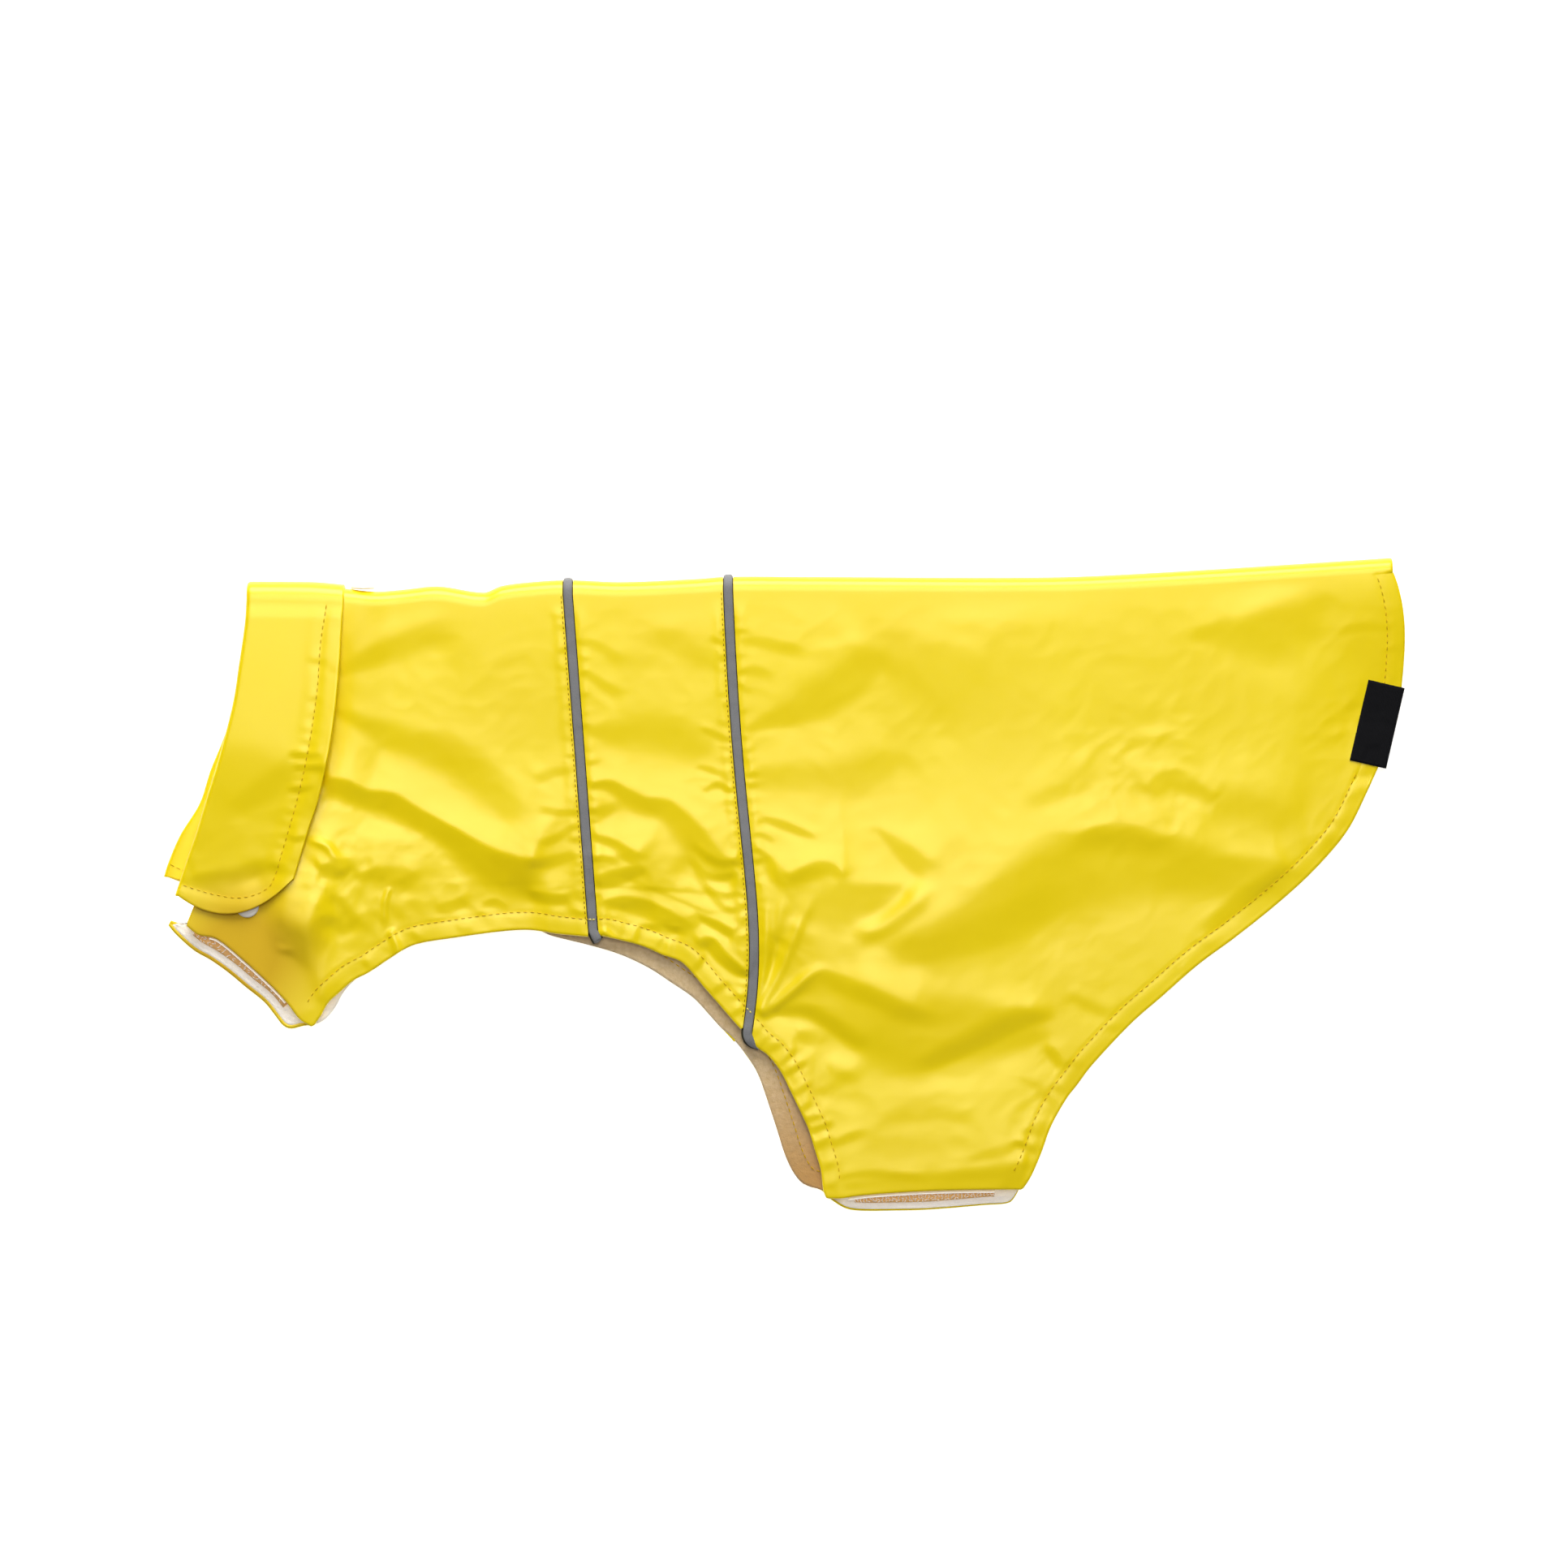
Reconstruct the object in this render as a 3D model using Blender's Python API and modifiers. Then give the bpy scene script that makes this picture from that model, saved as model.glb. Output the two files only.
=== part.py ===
"""Dog raincoat lying on its side, folded in half along the back.

The coat is one body panel that wraps the dog's back: the near half lies on top, the far half
under it, and the folded back is the long edge at +Y. The neck and its fold-over collar are
at -X, the tail at +X. Two piped seams cross the back and part the outer cloth in three
panels. The chest tab and the belly tab, at -Y, close under the dog with hook-and-loop tape.

Everything is placed through one surface, the body panel's inner face. A point on it has a
column, a line from the folded back down to the hems, and a row, a place along that line:
near half, round the fold, or far half. A lift moves the point outward from that surface.
Plan sizes and heights are in millimetres, and become metres where a mesh is made.
"""
from bisect import bisect_right
from math import ceil, cos, exp, floor, hypot, pi, radians, sin

import bmesh
import bpy

MM = 0.001

# Walls and the gaps between them
SHELL_WALL = 1.0
LINING_WALL = 1.2
TAPE_WALL = 1.0
COLLAR_WALL = 1.2
LABEL_WALL = 0.8
GAP = 0.3
LINING_LIFT = -GAP
TAPE_LIFT = LINING_LIFT - LINING_WALL - GAP
HALVES_APART = 2 * (TAPE_WALL - TAPE_LIFT) + GAP

# The folded back: its inner radius, and how far down the near half it still stands hollow
FOLD_RADIUS = 5.5
FOLD_HOLLOW = 2 * FOLD_RADIUS - HALVES_APART
HOLLOW_REACH = 60.0

# Fold-over collar: levels of the faces that its stand and its leaf turn to each other
STAND_LIFT = 0.7
LEAF_LIFT = 1.5
COLLAR_RAISE = LEAF_LIFT + COLLAR_WALL - SHELL_WALL
RAISE_ENDS = (5.0, 24.0)
COLLAR_FOLD_RADIUS = (LEAF_LIFT - STAND_LIFT) / 2
NECK_GAP = 0.45

# Piping: a cord covered in reflective tape, between the panels' seam edges
PIPING_WIDTH = 3.6
PIPING_PROUD = 1.2
PIPING_WALL = 0.9
PIPING_GAP = 0.5

# Snaps
SNAP_DIAMETER = 10.2
SNAP_THICK = 1.6
SNAP_RIM = 0.4
SNAP_BACK_X = -181.5
SNAP_CHEST = (-231.2, -9.1)

# Mesh pitch
COLUMN_PITCH = 12.0
HEM_PITCH = 22.0
NEAR_ROWS = 16
FAR_ROWS = 6
FOLD_STEP = 30

# Outline of the laid coat, a row for each station from neck to tail: where its column leaves
# the folded back, and where it ends on the near hem and on the far hem. A corner breaks the
# smooth hem.
# station, spine_x, near_x, near_y, far_x, far_y, corner
STATIONS = (
    ("neck", -220.0, -257.1, -18.2, -266.6, -16.8, True),
    ("chest_tab_middle", -202.2, -232.3, -33.2, -239.6, -38.5, False),
    ("chest_tab_back", -184.7, -203.6, -61.9, -213.0, -62.3, True),
    ("arch_rise", -168.2, -189.6, -44.4, -189.4, -46.9, False),
    ("arch_front", -144.4, -163.3, -27.6, -163.0, -27.3, False),
    ("arch_crown", -118.2, -124.5, -20.6, -124.5, -20.3, False),
    ("piping_front", -93.0, -81.6, -23.1, -82.0, -27.1, False),
    ("band", -58.0, -46.8, -32.5, -48.9, -42.7, False),
    ("piping_rear", -24.0, -14.6, -67.0, -18.3, -71.5, False),
    ("arch_rear", -0.2, 1.9, -86.8, -5.5, -98.0, False),
    ("arch_low", 24.3, 13.1, -113.7, 2.2, -121.8, False),
    ("arch_foot", 31.5, 16.2, -126.5, 9.5, -130.6, False),
    ("belly_tab_front", 40.0, 18.3, -135.6, 25.5, -139.8, True),
    ("belly_tab_middle", 75.7, 60.3, -132.3, 61.0, -141.0, False),
    ("belly_tab_rear", 114.2, 102.3, -132.1, 99.2, -136.5, True),
    ("thigh_low", 131.0, 112.1, -112.7, 110.0, -111.6, False),
    ("thigh_bend", 147.8, 125.8, -87.5, 124.0, -86.4, False),
    ("rump_low", 170.2, 152.7, -56.7, 151.7, -55.3, False),
    ("rump_middle", 192.3, 184.2, -31.7, 183.2, -30.1, False),
    ("rump_high", 214.0, 214.3, -8.0, 212.9, -6.6, False),
    ("tail_low", 233.9, 238.8, 16.8, 237.4, 18.2, False),
    ("tail_middle", 248.5, 252.8, 43.0, 251.1, 44.1, False),
    ("tail_label", 256.5, 262.2, 64.0, 260.6, 64.0, False),
    ("tail_end", 262.3, 266.5, 84.0, 265.1, 84.0, False),
)

# The folded back seen from above: it dips at the neck and rises a little to the tail.
# x, y
SPINE = (
    (-270.0, 127.9), (-205.0, 127.9), (-189.2, 126.7), (-176.6, 125.4), (-164.0, 126.3),
    (-149.0, 127.7), (-129.4, 125.1), (-121.7, 127.9), (-107.3, 129.7), (-93.0, 130.4),
    (-69.9, 129.6), (-38.0, 130.9), (-24.0, 131.9), (12.0, 131.8), (113.5, 131.6),
    (162.5, 133.7), (262.3, 140.0),
)

# How far a column bows toward the tail between the fold and the hem: a skew above 1 moves
# the widest place toward the hem.
# spine_x, near_bow, near_skew, far_bow, far_skew
BOWS = (
    (-220.0, 6.7, 1.0, 12.0, 3.6), (-184.7, 0.0, 1.0, 0.0, 3.6), (-93.0, 0.0, 1.8, 0.0, 1.8),
    (-24.0, 4.8, 2.5, 2.0, 2.5), (60.0, 0.0, 1.8, 0.0, 1.8), (192.3, 0.0, 0.9, 0.0, 0.9),
    (262.3, 3.4, 0.8, 3.4, 0.8),
)

# Largest folds of the near half: each a straight trough (height below zero) or ridge.
# x0, y0, x1, y1, half_width, height
FOLDS = (
    # front panel
    (-188, 89, -140, 115, 8, -1.6), (-186, 100, -150, 110, 9, 1.6),
    (-188, 73, -159, 62, 8, -1.4), (-159, 62, -110, 25, 9, -1.8),
    (-150, 78, -105, 55, 16, 2.4), (-184, 47, -148, 37, 8, 3.0),
    (-148, 37, -115, 15, 9, 3.2), (-186, 40, -153, 30, 8, -1.8),
    (-153, 30, -121, 4, 9, -2.2), (-121, 4, -92, -7, 8, -1.8),
    (-200, 12, -150, -3, 9, 2.0), (-195, -6, -145, -16, 7, -1.2),
    # middle panel
    (-80, 72, -32, 67, 8, -1.5), (-78, 58, -30, 50, 8, 1.8),
    (-80, 45, -30, 26, 8, -1.4), (-78, 32, -30, 8, 8, 1.8),
    (-78, 17, -34, -18, 8, -1.5), (-75, 95, -40, 98, 10, 1.6),
    # rear panel, upper half
    (-12, 68, 38, 106, 10, -1.8), (38, 112, 82, 77, 10, -1.6),
    (0, 90, 60, 95, 16, 2.4), (-14, 56, 50, 40, 9, -1.6),
    (100, 85, 190, 60, 22, 3.0), (176, 106, 216, 114, 9, -2.0),
    (216, 114, 232, 128, 8, -1.6), (146, 52, 168, 36, 9, -1.6),
    (190, 80, 240, 95, 16, 2.0),
    # rear panel, the fan from the rear piping's end and the broad band behind it
    (40, 25, 60, 6, 9, -1.8), (-2, 6, 50, 0, 8, -2.0),
    (-10, -50, 8, 4, 7, 2.6), (-6, -55, 28, 0, 7, 2.4),
    (30, -20, 78, 0, 11, -2.2), (78, 0, 113, 21, 12, -2.2),
    (113, 21, 166, 26, 12, -2.2), (166, 26, 218, 14, 11, -1.8),
    (40, 14, 95, 34, 10, 2.6), (95, 34, 150, 48, 12, 2.4),
    (-8, -54, 14, -38, 7, -1.8), (14, -38, 58, -80, 8, -2.2),
    (58, -80, 85, -66, 8, -2.2), (85, -66, 123, -55, 8, -2.0),
    (20, -30, 60, -34, 10, 2.6), (62, -32, 128, -30, 12, 3.4),
    (70, -88, 105, -84, 10, 2.2), (16, -112, 46, -106, 6, 1.6),
)

# Collar leaf and stand, a row for each cross line from the folded back down to the collar's
# lower end: where it leaves the neck seam, turns over, and ends on the leaf's free edge.
# seam_y, fold_x, fold_y, edge_x, edge_y
COLLAR_NEAR = (
    (122.4, -231.2, 122.4, -189.2, 121.5), (112.0, -231.9, 112.0, -190.0, 111.5),
    (94.5, -234.4, 94.5, -191.0, 94.5), (77.0, -237.2, 77.0, -192.7, 76.0),
    (57.5, -243.1, 54.3, -195.5, 57.0), (37.5, -248.7, 36.4, -200.1, 36.8),
    (22.0, -253.0, 22.5, -204.0, 25.0), (9.0, -257.6, 9.5, -207.8, 12.5),
    (-2.5, -262.4, -4.9, -210.9, 2.1),
)
COLLAR_FAR = (
    (122.4, -231.2, 122.4, -189.2, 121.5), (112.0, -231.9, 112.0, -190.0, 111.5),
    (94.5, -234.4, 94.5, -191.0, 94.5), (77.0, -237.2, 77.0, -192.7, 76.0),
    (61.0, -242.6, 62.0, -196.0, 61.0), (48.0, -247.9, 49.0, -199.0, 47.0),
    (34.0, -252.5, 35.0, -203.0, 33.0), (20.0, -260.8, 21.5, -207.0, 19.0),
    (7.5, -266.0, 9.5, -210.0, 8.0), (-1.0, -268.0, 3.2, -212.0, 1.0),
)
COLLAR_ROWS_BETWEEN = 2
COLLAR_END_SAG_NEAR = 11.0
COLLAR_END_SAG_FAR = 5.0
SAG_STARTS = 0.75
LEAF_STEPS = 5
STAND_STEPS = 1
COLLAR_TURN_STEPS = 3
# The near leaf stands up over the chest snap and along a crease across it.
SNAP_LIFT = 2.6
SNAP_LIFT_REACH = 17.0
LEAF_CREASE = (-243.0, 60.0, -198.0, 54.0, 13, 1.6)

# Hook-and-loop tapes along the tabs' lower hems: columns they span, their width, and how far
# each stands past its own hem
TAPE_WIDTH = 20.0
TAPES = (
    # name, half, spine_x_from, spine_x_to, outset
    ("tape_chest_near", "near", -214.0, -189.0, 0.4),
    ("tape_chest_far", "far", -214.0, -189.0, -5.0),
    ("tape_belly_near", "near", 47.5, 104.5, 1.5),
    ("tape_belly_far", "far", 47.5, 104.5, -4.5),
)
TAPE_STEPS = 6
# Where the near half lies flat: along the chest tapes, the belly tapes and the label
# x0, y0, x1, y1, flat_within, folded_beyond
FLAT_SPOTS = (
    (-247.0, -22.0, -214.0, -51.0, 28.0, 48.0), (25.0, -130.0, 100.0, -130.0, 26.0, 44.0),
    (255.0, 52.0, 262.0, 84.0, 16.0, 32.0),
)

# Woven label folded over the near half's tail hem, between two columns
LABEL_FROM = 251.5
LABEL_TO = 262.3
LABEL_STEPS = 6
LABEL_OUTSIDE = 16.0
LABEL_INSIDE = 10.0
LABEL_TURN = 0.6
LABEL_GAP = 0.5

SEAM_SIDES = (("piping_front", -93.0), ("piping_rear", -24.0))

YELLOW = (0.92, 0.74, 0.07)
FLEECE = (0.80, 0.72, 0.58)
GREY = (0.26, 0.26, 0.27)
HOOK = (0.55, 0.36, 0.17)
WHITE = (0.86, 0.84, 0.80)
BLACK = (0.012, 0.012, 0.013)


def smoothstep(low, high, value):
    """0 below low, 1 above high, smooth between."""
    part = min(max((value - low) / (high - low), 0.0), 1.0)
    return part * part * (3 - 2 * part)


def slope(xs, ys, knot, segment, corners):
    """Slope at a knot for the segment that is being drawn; a corner looks one way only."""
    first, last = segment, segment + 1
    if 0 < knot < len(xs) - 1 and not corners[knot]:
        first, last = knot - 1, knot + 1
    return (ys[last] - ys[first]) / (xs[last] - xs[first])


def through(xs, ys, place, corners=None):
    """Value at place of the smooth curve through the knots."""
    corners = corners or [False] * len(xs)
    segment = min(max(bisect_right(xs, place) - 1, 0), len(xs) - 2)
    span = xs[segment + 1] - xs[segment]
    u = (place - xs[segment]) / span
    start = span * slope(xs, ys, segment, segment, corners)
    end = span * slope(xs, ys, segment + 1, segment, corners)
    return ((1 + 2 * u) * (1 - u) ** 2 * ys[segment] + u * (1 - u) ** 2 * start
            + u * u * (3 - 2 * u) * ys[segment + 1] + u * u * (u - 1) * end)


def straight(rows, place, column):
    """Value at place of a table's column, straight between its rows."""
    xs = [row[0] for row in rows]
    segment = min(max(bisect_right(xs, place) - 1, 0), len(xs) - 2)
    u = min(max((place - xs[segment]) / (xs[segment + 1] - xs[segment]), 0.0), 1.0)
    return rows[segment][column] * (1 - u) + rows[segment + 1][column] * u


def distance_to_line(x, y, line):
    """Distance in plan from a point to a straight line's nearest point."""
    x0, y0, x1, y1 = line
    dx, dy = x1 - x0, y1 - y0
    along = ((x - x0) * dx + (y - y0) * dy) / (dx * dx + dy * dy)
    along = min(max(along, 0.0), 1.0)
    return hypot(x - x0 - along * dx, y - y0 - along * dy)


SPINE_PLACES = [row[1] for row in STATIONS]
CORNERS = [row[6] for row in STATIONS]
HEM = {"near": ([row[2] for row in STATIONS], [row[3] for row in STATIONS]),
       "far": ([row[4] for row in STATIONS], [row[5] for row in STATIONS])}
SPINE_XS = [row[0] for row in SPINE]
SPINE_YS = [row[1] for row in SPINE]
EDGE_YS = [row[4] for row in reversed(COLLAR_NEAR)]
EDGE_XS = [row[3] for row in reversed(COLLAR_NEAR)]


def spine_y(x):
    """Y of the folded back's inner face."""
    return through(SPINE_XS, SPINE_YS, x)


def hem_point(half, spine_x):
    """Plan point where a column ends on the half's hem."""
    xs, ys = HEM[half]
    return (through(SPINE_PLACES, xs, spine_x, CORNERS),
            through(SPINE_PLACES, ys, spine_x, CORNERS))


def hem_slope(half, spine_x):
    """Rise of the hem for each millimetre toward the tail, at a column's foot."""
    back_x, back_y = hem_point(half, spine_x - 1)
    on_x, on_y = hem_point(half, spine_x + 1)
    return (on_y - back_y) / (on_x - back_x)


def past_collar(x, y):
    """How far a plan point lies toward the tail from the collar's free edge."""
    held = min(max(y, EDGE_YS[0]), EDGE_YS[-1])
    return x - through(EDGE_YS, EDGE_XS, held)


def far_base(x, y):
    """Height of the far half's inner face: it steps up where the collar lies under it."""
    over_collar = 1 - smoothstep(RAISE_ENDS[0], RAISE_ENDS[1], past_collar(x, y))
    return SHELL_WALL + COLLAR_RAISE * over_collar


def relief(x, y):
    """The near half's folds, calm at the folded back, under the collar and on the tapes."""
    height = 0.0
    for x0, y0, x1, y1, width, fold_height in FOLDS:
        away = distance_to_line(x, y, (x0, y0, x1, y1))
        height += fold_height * exp(-(away / width) ** 2)
    calm = smoothstep(4, 34, spine_y(x) - FOLD_RADIUS - y)
    calm *= smoothstep(-6, 10, past_collar(x, y))
    for x0, y0, x1, y1, flat_within, folded_beyond in FLAT_SPOTS:
        away = distance_to_line(x, y, (x0, y0, x1, y1))
        calm *= smoothstep(flat_within, folded_beyond, away)
    return calm * max(height, -1.9)


def near_base(x, y):
    """Height of the near half's inner face."""
    down = spine_y(x) - FOLD_RADIUS - y
    hollow = FOLD_HOLLOW * (1 - smoothstep(0, HOLLOW_REACH, down))
    return far_base(x, y) + HALVES_APART + hollow + relief(x, y)


def on_half(half, x, y, lift):
    """Point over a plan point, lifted outward from the half's inner face."""
    if half == "near":
        return (x, y, near_base(x, y) + lift)
    return (x, y, far_base(x, y) - lift)


def round_fold(x, angle, lift):
    """Point on the folded back at an angle from 90, near half, to -90, far half."""
    top = spine_y(x) - FOLD_RADIUS
    middle = far_base(x, top) + FOLD_RADIUS
    reach = FOLD_RADIUS + lift
    return (x, top + reach * cos(radians(angle)), middle + reach * sin(radians(angle)))


def bow(half, spine_x, along):
    """Sideways bow of a column at a place along it."""
    first = 1 if half == "near" else 3
    widest = straight(BOWS, spine_x, first)
    skew = straight(BOWS, spine_x, first + 1)
    return widest * sin(pi * min(along, 1.0) ** skew)


def coat_point(column, row, lift):
    """Point of the body: column is (spine_x, shift), row is (half, along, outset)."""
    spine_x, shift = column
    half, along, outset = row
    if half == "fold":
        return round_fold(spine_x + shift, along, lift)
    foot_x, foot_y = hem_point(half, spine_x)
    foot_y += shift * hem_slope(half, spine_x)
    top = spine_y(spine_x + shift) - FOLD_RADIUS
    along += outset / hypot(foot_x - spine_x, foot_y - top)
    x = spine_x + shift + (foot_x - spine_x) * along + bow(half, spine_x, along)
    y = top + (foot_y - top) * along
    return on_half(half, x, y, lift)


def body_rows(outset=0.0):
    """Rows from the near hem over the folded back to the far hem."""
    rows = [("near", 1 - step / NEAR_ROWS, outset * (step == 0)) for step in range(NEAR_ROWS)]
    rows += [("fold", angle, 0.0) for angle in range(90, -91, -FOLD_STEP)]
    rows += [("far", step / FAR_ROWS, outset * (step == FAR_ROWS))
             for step in range(1, FAR_ROWS + 1)]
    return rows


def panel_columns(low, high):
    """Columns between two stations: each end moves in where it meets a piping."""
    seams = [place for _, place in SEAM_SIDES]
    edge = PIPING_WIDTH / 2 + PIPING_GAP
    stops = [place for place in SPINE_PLACES if low <= place <= high]
    columns = [(low, edge if low in seams else 0.0)]
    for start, end in zip(stops, stops[1:]):
        hem = hypot(*(far - near for near, far in
                      zip(hem_point("near", start), hem_point("near", end))))
        steps = ceil(max((end - start) / COLUMN_PITCH, hem / HEM_PITCH) - 0.3)
        columns += [(start + (end - start) * step / steps, 0.0) for step in range(1, steps + 1)]
    columns[-1] = (high, -edge if high in seams else 0.0)
    return columns


def material(name, color, roughness):
    """Principled finish of one object."""
    made = bpy.data.materials.new(name)
    made.use_nodes = True
    shader = made.node_tree.nodes["Principled BSDF"]
    shader.inputs["Base Color"].default_value = (*color, 1.0)
    shader.inputs["Roughness"].default_value = roughness
    shader.inputs["Metallic"].default_value = 0.0
    return made


def add_object(name, mesh_source, color, roughness):
    """Object in the coat's collection, made from a bmesh in metres."""
    mesh = bpy.data.meshes.new(name)
    mesh_source.to_mesh(mesh)
    mesh_source.free()
    mesh.materials.append(material(name, color, roughness))
    made = bpy.data.objects.new(name, mesh)
    bpy.data.collections["dog_raincoat"].objects.link(made)
    return made


def cloth(name, point, columns, rows, wall, outward, color, roughness=0.6):
    """Cloth wall: a grid placed by point(column, row), thickened to one side of it."""
    made = bmesh.new()
    bmesh.ops.create_grid(made, x_segments=len(columns) - 1, y_segments=len(rows) - 1, size=0.5)
    bmesh.ops.triangulate(made, faces=made.faces, quad_method="FIXED")
    for vert in made.verts:
        column = columns[round((vert.co.x + 0.5) * (len(columns) - 1))]
        row = rows[round((vert.co.y + 0.5) * (len(rows) - 1))]
        vert.co = [MM * value for value in point(column, row)]
    sheet = add_object(name, made, color, roughness)
    thicken = sheet.modifiers.new("wall", "SOLIDIFY")
    thicken.thickness = wall * MM
    thicken.offset = 1.0 if outward else -1.0
    return sheet


def make_shells():
    """Outer cloth: three panels, each in one piece over the back."""
    ends = [SPINE_PLACES[0]] + [place for _, place in SEAM_SIDES] + [SPINE_PLACES[-1]]
    for name, low, high in zip(("front", "middle", "rear"), ends, ends[1:]):
        cloth("shell_" + name, lambda column, row: coat_point(column, row, 0.0),
              panel_columns(low, high), body_rows(), SHELL_WALL, True, YELLOW)


def make_lining():
    """Fleece lining: one piece under all three panels, its edge just inside the hems."""
    ends = [SPINE_PLACES[0]] + [place for _, place in SEAM_SIDES] + [SPINE_PLACES[-1]]
    columns = [column for low, high in zip(ends, ends[1:]) for column in panel_columns(low, high)]
    cloth("lining", lambda column, row: coat_point(column, row, LINING_LIFT),
          columns, body_rows(-1.0), LINING_WALL, False, FLEECE, 0.95)


def make_pipings():
    """Reflective piping in both seams: proud on the near half, flat where it rests."""
    places = (-1.0, -0.5, 0.0, 0.5, 1.0)
    for name, spine_x in SEAM_SIDES:
        def bead(across, row):
            proud = PIPING_PROUD * (1 - across * across)
            if row[0] == "far":
                proud = 0.0
            elif row[0] == "fold":
                proud *= smoothstep(-90, 0, row[1])
            return coat_point((spine_x, across * PIPING_WIDTH / 2), row, SHELL_WALL + proud)
        cloth(name, bead, places, body_rows(), PIPING_WALL, False, GREY, 0.4)


def collar_lines(table):
    """The table's cross lines with smooth ones between them, from the back downward."""
    places = list(range(len(table)))
    between = COLLAR_ROWS_BETWEEN
    lines = []
    for step in range(1, (len(table) - 1) * between + 1):
        values = [through(places, [row[column] for row in table], step / between)
                  for column in range(5)]
        lines.append((step / ((len(table) - 1) * between), values))
    return lines


def leaf_extra(half, x, y):
    """Extra lift of the near leaf: over the chest snap and along its crease."""
    if half == "far":
        return 0.0
    snap = hypot(x - SNAP_CHEST[0], y - SNAP_CHEST[1])
    crease = distance_to_line(x, y, LEAF_CREASE[:4])
    width, height = LEAF_CREASE[4:]
    return (SNAP_LIFT * exp(-(snap / SNAP_LIFT_REACH) ** 2)
            + height * exp(-(crease / width) ** 2))


def collar_path():
    """Places across the collar: (part, share) from the neck seam to the leaf's free edge."""
    path = [("stand", step / STAND_STEPS) for step in range(STAND_STEPS)]
    path += [("turn", step / COLLAR_TURN_STEPS) for step in range(COLLAR_TURN_STEPS + 1)]
    path += [("leaf", step / LEAF_STEPS) for step in range(1, LEAF_STEPS + 1)]
    return path


def neck_x(half, y):
    """X of the body's neck edge at a height y of the plan, straight between the rows."""
    start = SPINE_PLACES[0]
    if half == "fold":
        return start
    rows = NEAR_ROWS if half == "near" else FAR_ROWS
    foot_x, foot_y = hem_point(half, start)
    top = spine_y(start) - FOLD_RADIUS
    along = min(max((y - top) / (foot_y - top), 0.0), 1.0)
    above = min(floor(along * rows), rows - 1) / rows
    below = above + 1 / rows
    bowed = (bow(half, start, above) * (below - along) + bow(half, start, below) * (along - above))
    return start + (foot_x - start) * along + bowed * rows


def collar_across(place, seam_x, fold_x, edge_x):
    """X and lift of a place across the collar on one cross line."""
    part, share = place
    turn_x = fold_x + COLLAR_WALL + COLLAR_FOLD_RADIUS
    if part == "stand":
        start = seam_x - NECK_GAP
        return start + (turn_x - start) * share, STAND_LIFT
    if part == "turn":
        angle = pi * share
        lift = (STAND_LIFT + LEAF_LIFT) / 2 - COLLAR_FOLD_RADIUS * cos(angle)
        return turn_x - COLLAR_FOLD_RADIUS * sin(angle), lift
    return turn_x + (edge_x - turn_x) * share, LEAF_LIFT


def collar_point(place, row):
    """Point of the collar on a cross line of either half, or round the folded back."""
    half, down, line = row
    seam_y, fold_x, fold_y, edge_x, edge_y = line
    x, lift = collar_across(place, neck_x(half, seam_y), fold_x, edge_x)
    if half == "fold":
        return round_fold(x, down, lift)
    part, share = place
    if part == "stand":
        y = seam_y + (fold_y - seam_y) * share
    elif part == "turn":
        y = fold_y
    else:
        y = fold_y + (edge_y - fold_y) * share
        sag = COLLAR_END_SAG_NEAR if half == "near" else COLLAR_END_SAG_FAR
        y -= sag * 4 * share * (1 - share) * smoothstep(SAG_STARTS, 1.0, down)
        lift += leaf_extra(half, x, y) * smoothstep(0.0, 0.4, share)
    return on_half(half, x, y, lift)


def make_collar():
    """Collar: a stand on the neck seam that turns over into a wide leaf."""
    near = [("near", down, line) for down, line in collar_lines(COLLAR_NEAR)]
    far = [("far", down, line) for down, line in collar_lines(COLLAR_FAR)]
    fold = [("fold", angle, COLLAR_NEAR[0]) for angle in range(90, -91, -FOLD_STEP)]
    cloth("collar", collar_point, collar_path(), near[::-1] + fold + far,
          COLLAR_WALL, True, YELLOW)


def make_tapes():
    """Hook-and-loop tapes on the lining side of the tabs."""
    for name, half, low, high, outset in TAPES:
        columns = [(low + (high - low) * step / TAPE_STEPS, 0.0)
                   for step in range(TAPE_STEPS + 1)]
        rows = [(half, 1.0, outset - TAPE_WIDTH * step / 2) for step in range(3)]
        if half == "far":
            rows.reverse()
        cloth(name, lambda column, row: coat_point(column, row, TAPE_LIFT),
              columns, rows, TAPE_WALL, False, HOOK, 0.9)


def make_snap(name, place, turn):
    """Snap cap: a low disc with a rounded rim, standing on its base at place."""
    made = bmesh.new()
    bmesh.ops.create_cone(made, cap_ends=True, segments=24, radius1=SNAP_DIAMETER / 2 * MM,
                          radius2=SNAP_DIAMETER / 2 * MM, depth=SNAP_THICK * MM)
    bmesh.ops.translate(made, verts=made.verts, vec=(0, 0, SNAP_THICK / 2 * MM))
    snap = add_object(name, made, WHITE, 0.35)
    rim = snap.modifiers.new("rim", "BEVEL")
    rim.width = SNAP_RIM * MM
    rim.segments = 2
    snap.location = [MM * value for value in place]
    snap.rotation_euler = (turn, 0, 0)


def make_snaps():
    """One snap on the folded back behind the collar, one on the chest under its end."""
    radius = SNAP_DIAMETER / 2
    x, y, z = round_fold(SNAP_BACK_X, 0, SHELL_WALL + GAP)
    y += max(spine_y(SNAP_BACK_X + side) for side in (-radius, 0, radius)) - spine_y(x)
    make_snap("snap_back", (x, y, z), -pi / 2)
    chest = on_half("near", *SNAP_CHEST, SHELL_WALL + GAP)
    make_snap("snap_chest", chest, 0.0)


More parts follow.
